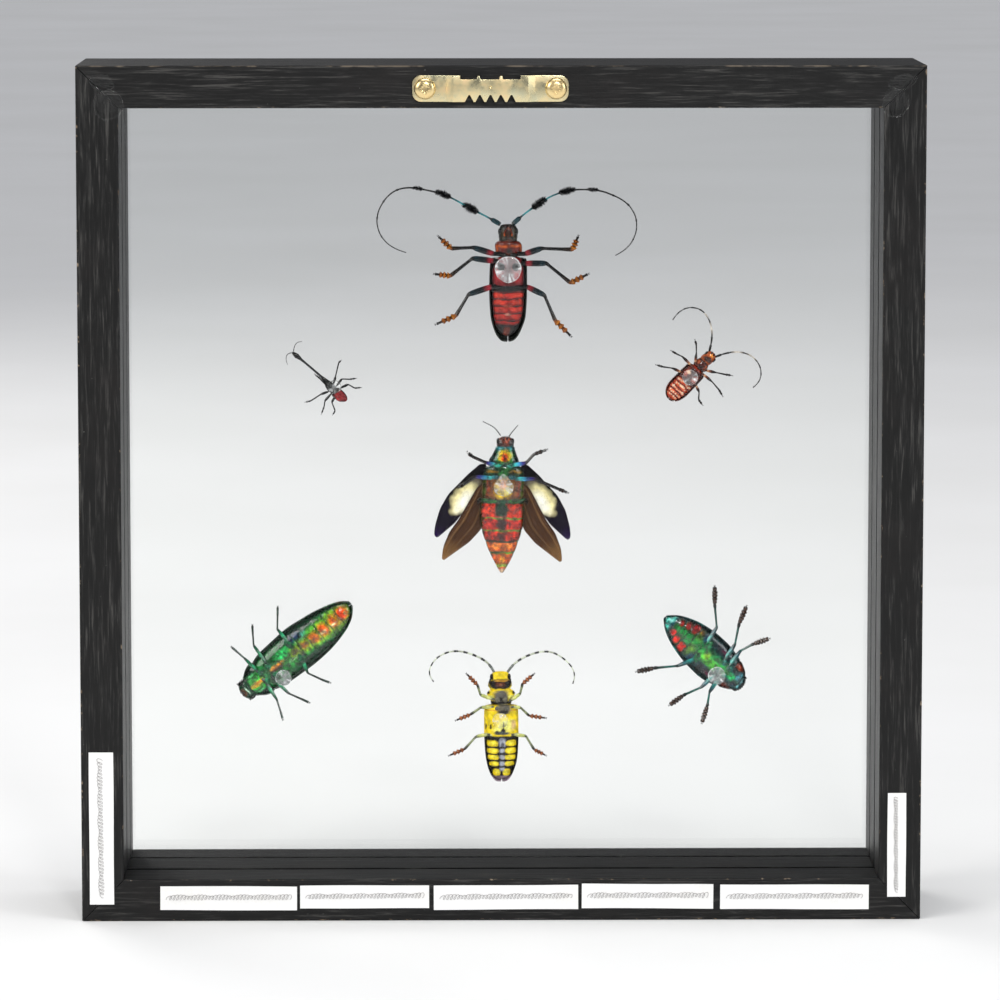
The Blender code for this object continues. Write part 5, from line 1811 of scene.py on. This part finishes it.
glue_dot(
    "glue_green", "beetle_green_jewel", 3.0, seed=5, haze=0.12, streaks=6, rim=0.8,
    clear=((-1.6, 0.2, 1.2),),
)

# %% [markdown]
# ## The flat spotted jewel beetle
#
# Teal with two rows of red spots, and thick brown feet made of short lobes.

# %% Flat spotted jewel beetle
RISE = 3.4
BODY = [
    (3.4, 5.8, 2.7, -3.3), (2.0, 6.6, 2.9, -3.2), (-1.5, 7.2, 3.1, -3.0), (-5, 7.5, 3.2, -3.0),
    (-10, 7.4, 3.2, -3.1), (-16.5, 6.5, 2.85, -3.1), (-21, 5.15, 2.35, -3.0), (-25, 3.2, 1.6, -2.9),
    (-27.2, 1.2, 0.8, -2.75), (-27.6, 0.4, 0.3, -2.7),
]
CASES = [
    (3.8, 6.0, 2.8, -3.3), (2.4, 6.7, 3.0, -3.2), (-1.5, 7.75, 3.2, -3.0), (-5, 8.15, 3.35, -3.0),
    (-10, 8.05, 3.35, -3.1), (-16.5, 7.05, 2.95, -3.1), (-21, 5.65, 2.45, -3.0),
    (-25, 3.65, 1.75, -2.9), (-28.3, 0.8, 0.5, -2.7),
]
RINGS = (-11.2, -15.2, -18.3, -21.0, -23.8)
LAGOON, EMERALD, TAIL_HIGHLIGHT = (14, 70, 68), (34, 150, 66), (74, 196, 178)
RUBY, WINE = (220, 34, 16), (150, 22, 26)
zones = [
    (EMERALD, "stripe", -24, 3, 0.30, 0.3), ((90, 206, 60), "spot", 1.4, -5.4, 1.5, 4.2, 0.8),
    ((120, 170, 40), "spot", 0.2, -7.4, 1.4, 1.0, 0.8),
    ((26, 36, 44), "pair", 5.2, -3.6, 1.6, 4.6, 0.8),
    ((84, 24, 52), "pair", 5.0, -3.0, 0.5, 1.4, 0.8),
    ((96, 150, 46), "spot", 2.8, -13.6, 2.2, 1.6, 0.8),
    ((70, 120, 46), "spot", -3.6, -14.0, 2.2, 1.8, 0.8),
    ((20, 60, 84), "pair", 4.6, -11.8, 1.6, 1.4, 0.8),
    # The pale teal band over the tail, and the paler spot in it, are painted highlights.
    ((120, 84, 30), "spot", -4.9, -14.4, 0.9, 1.0, 0.7), (TAIL_HIGHLIGHT, "band", -29, -24.8, 1.4),
    ((150, 232, 220), "spot", -0.8, -25.8, 0.7, 0.8, 0.8),
    ((20, 90, 96), "spot", 0.4, -24.6, 1.2, 0.8, 0.7),
]
for x, z, wide, tall, colour in (
    (2.2, -22.3, 1.05, 1.05, RUBY), (3.4, -19.8, 1.45, 1.1, RUBY), (4.4, -16.7, 1.75, 1.35, RUBY),
    (-2.5, -22.2, 1.0, 0.9, WINE), (-3.4, -19.5, 1.3, 1.0, WINE),
    (-4.2, -17.0, 1.8, 1.35, (186, 24, 24)),
):
    zones += [
        ((70, 70, 30), "spot", x, z, wide + 0.45, tall + 0.4, 0.5),
        (colour, "spot", x, z, wide, tall, 0.3),
    ]
zones += [((12, 34, 34), "band", ring - 0.22, ring + 0.1, 0.2) for ring in RINGS]
zones += [((12, 44, 46), "rim", -29, 4, 0.88, 0.14), ((18, 90, 84), "back")]
shell_parts = [
    plate("body", BODY, RISE, LAGOON, zones, RINGS, 48, wobble=0.35),
    plate("neck", [
        (8.4, 3.6, 1.9, -3.25), (7.6, 4.3, 2.2, -3.3), (5.6, 5.45, 2.6, -3.3),
        (3.8, 6.2, 2.85, -3.3), (2.9, 6.3, 2.9, -3.3), (2.5, 5.0, 2.4, -3.3),
    ], RISE, (16, 74, 72), [
        ((126, 44, 18), "pair", 4.8, 4.6, 1.5, 2.3, 0.4),
        ((70, 20, 12), "pair", 5.6, 4.0, 0.5, 1.6, 0.8),
        ((20, 190, 100), "spot", 0.3, 4.6, 1.0, 2.6, 0.8),
        ((80, 170, 190), "spot", -1.4, 6.8, 1.6, 0.8, 0.8),
        ((14, 46, 60), "spot", 1.8, 6.6, 1.4, 0.9, 0.8), ((18, 80, 76), "back"),
    ], (3.6,), 44, wobble=0.3),
    plate("head", [
        (10.4, 1.2, 0.8, -2.7), (9.9, 2.1, 1.2, -2.9), (9.2, 2.9, 1.6, -3.0),
        (8.2, 3.7, 1.95, -3.2), (7.3, 3.8, 2.0, -3.3),
    ], RISE, (20, 90, 92), [
        ((110, 190, 196), "pair", 1.3, 8.6, 0.7, 0.35, 0.7),
        ((14, 36, 40), "spot", 0, 9.6, 1.6, 0.7, 0.6), ((18, 60, 60), "back"),
    ], (8.8,), 36, wobble=0.2),
    wing_cases("cases", CASES, RISE, RISE - 0.35, (14, 70, 70), [
        ((40, 150, 140), "pair", 6.4, -10, 0.5, 12, 1.2), (RUBY, "pair", 3.4, -8, 1.4, 1.6, 0.4),
        (RUBY, "pair", 3.0, -16, 1.3, 1.5, 0.4),
    ], thick=0.35, front=0.8),
]
shell_parts += both_sides(
    ((-3.1, 3.0, RISE - 0.5, 8.5), (0.5, 0.9, 1.0), (12, 16, 16)),
    ((-3.2, 1.6, 0.95, 2.2), (1.2, 0.75, 1.1), (24, 120, 104)),
    ((-3.1, 1.9, 0.85, -0.9), (1.3, 0.7, 1.2), (20, 110, 96)),
    ((-3.1, 2.6, 0.9, -9.8), (2.6, 0.75, 1.4), (30, 120, 70), -16),
)
for number in range(9):  # a beaded edge of short teeth round the front of the head
    angle = math.radians(20 + number * 17.5)
    shell_parts.append(
        ball(
            (-2.9 + 3.0 * math.cos(angle), 2.6, 8.1 + 2.1 * math.sin(angle)), (0.36, 0.4, 0.36),
            (24, 26, 26),
        )
    )
FOOT, KNOT = (72, 46, 32), (40, 26, 20)
LEG_STYLE = [
    (0.0, 0.8, (14, 84, 72)), (0.3, 0.92, (40, 150, 140)), (0.7, 0.9, (16, 84, 96)),
    (1.0, 0.62, (10, 44, 46)), (1.1, 0.44, (24, 96, 88)), (1.85, 0.52, (20, 76, 66)),
    (1.95, 0.75, INK), (2.03, 0.7, INK), (2.07, 0.42, INK),
]
for number, (low, high) in enumerate(
    ((0.08, 0.24), (0.24, 0.42), (0.42, 0.60), (0.60, 0.78), (0.78, 0.97))
):
    wide = (1.0, 1.2, 1.3, 1.3, 1.0)[number]
    LEG_STYLE += [
        (2 + low + 0.02, 0.8, KNOT), (2 + low + 0.06, 0.9 * wide, FOOT),
        (2 + high - 0.04, 0.98 * wide, FOOT), (2 + high - 0.01, 0.8, KNOT),
    ]
LEGS = [
    (-1, -5.5, -10.5, (7.5, 8.4, 6.8), (-10, -48, -43)),
    (-1, -6.5, -1.7, (6.3, 7.7, 7.1), (-8, -32, -21)),
    (-1, -5.8, 1.1, (6.6, 5.3, 6.1), (-5, 18, 28)),
    (1, -0.1, -9.3, (8.2, 8.4, 6.7), (-25, -43, -37)),
    (1, 0.6, -0.6, (6.7, 7.0, 6.3), (-3, -24, -13)),
    (1, 1.0, 1.5, (5.5, 5.1, 6.5), (10, 33, 25)),
]
limbs = legs(LEGS, 2.0, 0.95, LEG_STYLE)
mount(
    "beetle_flat_spotted", 132.5, {"shell": shell_parts, "limbs": limbs}, (JEWEL_SHELL, JEWEL_LIMB),
)
glue_dot(
    "glue_flat", "beetle_flat_spotted", 3.3, seed=6, haze=0.10, streaks=7, rim=0.9,
    clear=((-0.8, 0.8, 0.8), (1.0, -0.6, 0.8)),
)

# %% [markdown]
# ## The yellow longhorn
#
# A velvety shell in yellow and black, five pairs of yellow bars on its belly and banded feelers.

# %% Yellow longhorn
RISE = 3.6
BODY = [
    (5.4, 4.6, 2.9, 0.4), (4.8, 5.9, 3.25, 0.4), (0, 6.15, 3.4, 0.4), (-5.2, 6.1, 3.4, 0.4),
    (-6.4, 5.6, 3.3, 0.4), (-11.6, 5.45, 3.05, 0.4), (-15.8, 4.95, 2.6, 0.4), (-20, 3.6, 2.0, 0.3),
    (-21.8, 2.2, 1.2, 0.3), (-22.3, 0.6, 0.4, 0.3),
]
CASES = [
    (5.6, 4.8, 3.0, 0.4), (4.8, 6.15, 3.4, 0.4), (0, 6.35, 3.5, 0.4), (-5.5, 6.35, 3.5, 0.4),
    (-11.6, 6.1, 3.25, 0.4), (-15.8, 5.6, 2.8, 0.4), (-20, 4.3, 2.25, 0.3), (-22.4, 2.9, 1.5, 0.3),
    (-23.4, 1.8, 1.0, 0.3),
]
RINGS = (-7.4, -10.2, -12.8, -15.2, -17.9)
SUN, PALE, COAL = (252, 220, 14), (244, 238, 120), (16, 12, 12)
SILVER, MAUVE = (176, 180, 196), (150, 126, 142)
zones = [
    (SUN, "band", -6.0, 5.6, 0.4), (PALE, "spot", 1.8, -2.0, 2.8, 2.2, 0.8),
    (PALE, "spot", -0.6, -3.6, 2.2, 1.2, 0.8), ((214, 150, 40), "band", 3.35, 3.75, 0.25),
    ((236, 196, 130), "spot", 4.4, -1.8, 0.9, 1.6, 0.8),
    ((104, 98, 84), "spot", 1.2, 4.6, 2.6, 1.9, 0.5),
    ((36, 34, 32), "spot", 0.9, 2.9, 2.2, 0.7, 0.6), (COAL, "spot", -3.9, -2.4, 0.42, 1.0, 0.4),
    (COAL, "spot", -5.6, -2.7, 0.25, 1.1, 0.4), (COAL, "spot", 0.8, -2.4, 0.3, 1.6, 0.4),
    (COAL, "spot", 0.7, -4.0, 0.9, 0.9, 0.5), (COAL, "spot", -1.6, -4.4, 0.7, 0.5, 0.6),
    ((70, 74, 74), "spot", 0.4, -4.9, 2.8, 0.6, 0.6), (COAL, "band", -22.5, -6.0, 0.5),
    ((220, 224, 160), "pair", 4.9, -5.6, 1.3, 0.5, 0.5), (COAL, "spot", -4.2, -6.7, 2.0, 0.75, 0.3),
    (COAL, "spot", 4.6, -6.7, 1.5, 0.8, 0.3), (SILVER, "spot", 0.3, -8.6, 1.1, 1.6, 0.7),
    ((80, 82, 96), "spot", 0.3, -9.4, 0.5, 0.9, 0.7),
]
for z, wide, tall, at in (
    (-8.7, 2.15, 1.15, 3.5), (-11.5, 2.2, 1.0, 3.3), (-13.95, 2.1, 0.95, 3.15),
    (-16.4, 1.75, 0.85, 2.85), (-19.6, 1.3, 1.35, 1.9),
):
    zones += [
        (SUN, "pair", at, z, wide, tall, 0.25),
        # A paler patch in each yellow bar is a painted highlight.
        ((255, 240, 70), "pair", at - 0.4, z + 0.15, 0.55 * wide, 0.5 * tall, 0.9),
    ]
zones += [
    (SILVER, "spot", 0.2, z, 0.9, 0.8, 0.7)
    for z in (-11.4, -13.9, -16.2, -18.2)
] + [(COAL, "spot", 0.2, z, 1.1, 0.25, 0.5) for z in (-10.2, -12.8, -15.2, -17.6)]
zones += [(MAUVE, "band", -24, -21.0, 0.5), ((60, 48, 20), "back")]
shell_parts = [
    plate("body", BODY, RISE, SUN, zones, RINGS, 48, wobble=0.25),
    plate("neck", [
        (11.4, 3.2, 2.3, 0.3), (10.4, 4.6, 2.8, 0.4), (9.4, 5.3, 3.0, 0.4), (8.2, 4.6, 2.85, 0.4),
        (7.0, 4.0, 2.7, 0.4), (6.0, 3.9, 2.7, 0.4), (5.2, 3.4, 2.3, 0.4),
    ], RISE, SUN, [
        ((96, 92, 84), "spot", 0.1, 8.6, 2.7, 2.6, 0.5),
        ((46, 42, 40), "spot", 0.0, 7.6, 1.6, 0.6, 0.6), (COAL, "band", 5.6, 6.9, 0.35),
        ((150, 146, 126), "spot", 0.2, 5.2, 2.2, 0.5, 0.6),
        (COAL, "pair", 4.6, 9.9, 0.55, 0.5, 0.4), (PALE, "pair", 3.6, 8.4, 0.9, 0.7, 0.6),
        (COAL, "back"),
    ], (7.2,), 40, wobble=0.25),
    plate("head", [
        (17.6, 2.3, 1.3, 0.2), (17.0, 3.0, 1.9, 0.2), (15.6, 3.55, 2.4, 0.2),
        (13.6, 4.35, 2.75, 0.1), (12.4, 4.45, 2.8, 0.0), (11.0, 3.6, 2.6, 0.1),
        (10.4, 3.0, 2.2, 0.2),
    ], RISE, SUN, [
        (COAL, "spot", 0.1, 13.2, 4.4, 1.9, 0.25), (COAL, "pair", 3.9, 14.6, 0.45, 1.3, 0.5),
        ((90, 42, 26), "spot", 0.2, 13.0, 1.6, 0.9, 0.8),
        ((150, 84, 40), "spot", 0.4, 13.1, 0.6, 0.35, 0.7),
        (COAL, "pair", 3.2, 15.7, 0.6, 1.0, 0.4),
        ((206, 150, 40), "spot", 0.2, 14.5, 2.4, 0.3, 0.6),
        (PALE, "pair", 4.2, 11.3, 0.4, 0.7, 0.6), ((190, 160, 40), "back"),
    ], (14.4,), 40, wobble=0.25),
    wing_cases(
        "cases", CASES, RISE, RISE - 0.45, COAL,
        [(SUN, "band", -5.6, 6, 0.4), (MAUVE, "band", -24, -21.2, 0.8)], gap=0.12, thick=0.4,
        front=0.6, notch=0.35,
    ),
]
shell_parts += both_sides(
    ((0.2, 3.25, RISE - 0.6, 15.6), (0.6, 1.2, 1.25), COAL),
    ((0.1, 1.0, 1.35, 13.2), (0.75, 0.6, 0.9), (80, 40, 26)),
    ((0.4, 1.4, 1.05, 7.4), (1.0, 0.75, 0.95), (110, 106, 90)),
    ((0.6, 1.6, 0.95, 4.2), (1.1, 0.7, 1.0), (96, 94, 84)),
    ((0.4, 1.7, 0.95, -4.8), (1.2, 0.6, 0.6), (84, 86, 76), -16),
)
LEG_STYLE = [
    (0.0, 0.5, (96, 98, 84)), (0.12, 0.55, (190, 192, 130)), (0.4, 0.8, (226, 228, 130)),
    (0.85, 0.72, (190, 200, 120)), (1.0, 0.55, COAL), (1.12, 0.5, (120, 128, 92)),
    (1.6, 0.55, (150, 158, 116)), (1.85, 0.62, (60, 62, 46)), (2.0, 0.6, COAL),
    (2.06, 0.45, (110, 66, 40)), (2.24, 1.15, (184, 110, 70)), (2.3, 0.5, (100, 56, 36)),
    (2.48, 1.2, (188, 114, 72)), (2.54, 0.5, (100, 56, 36)), (2.72, 1.1, (180, 106, 66)),
    (2.79, 0.45, (90, 52, 34)), (2.9, 0.4, (50, 34, 28)), (3.0, 0.45, COAL),
]
LEGS = [
    (-1, -2.9, 7.7, (4.6, 3.8, 5.7), (21, 75, 47)),
    (1, 4.1, 7.2, (4.1, 3.8, 5.5), (36, 77, 41)),
    (-1, -2.9, 4.8, (4.1, 4.5, 5.7), (-2, -33, -21)),
    (1, 4.9, 4.8, (2.7, 4.2, 6.0), (-9, -44, -8)),
    (-1, -4.6, -5.4, (4.4, 6.1, 6.0), (-10, -47, -22)),
    (1, 4.8, -5.5, (4.6, 5.8, 4.6), (-8, -59, -27)),
]
FEELERS = [
    (-1, -2.0, 17.2, 3.2, (62, 40, 27, 21, 12, -2, -20, -35, -56, -80, -126)),
    (1, 2.8, 17.2, 3.2, (55, 38, 27, 20, 10, -5, -28, -38, -50, -72, -108)),
]
limbs = legs(LEGS, 0.9, 0.9, LEG_STYLE)
for side, x, z, step, angles in FEELERS:
    total = step * len(angles)
    stops = [(0, 0.5, (96, 100, 96)), (3.4, 0.55, (110, 116, 110)), (3.7, 0.32, COAL)]
    for i in range(9):
        low, high = 3.8 + (total - 3.8) * i / 9, 3.8 + (total - 3.8) * (i + 1) / 9
        thin = 0.40 * (1 - 0.06 * i)
        stops += [
            (low, thin, (214, 222, 196)), (low + 0.5 * (high - low), thin, (206, 214, 190)),
            (low + 0.58 * (high - low), thin * 1.1, (34, 34, 34)),
            (high - 0.1, thin * 1.25, (28, 28, 28)),
        ]
    limbs.append(feeler(side, x, z, step, angles, RISE, stops))
mount(
    "beetle_yellow_longhorn", -0.5, {"shell": shell_parts, "limbs": limbs},
    (SATIN_SHELL, LIMB_SKIN),
)
glue_dot("glue_yellow", "beetle_yellow_longhorn", 2.9, seed=7, haze=0.04, streaks=4, rim=0.3)

# %% Compare the two boxes and finish
low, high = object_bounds()
apart = max(abs(a - b) for a, b in zip((*cad_low, *cad_high), (*low, *high)))
print("solid box and finished box agree to", round(apart / MM, 3), "mm")
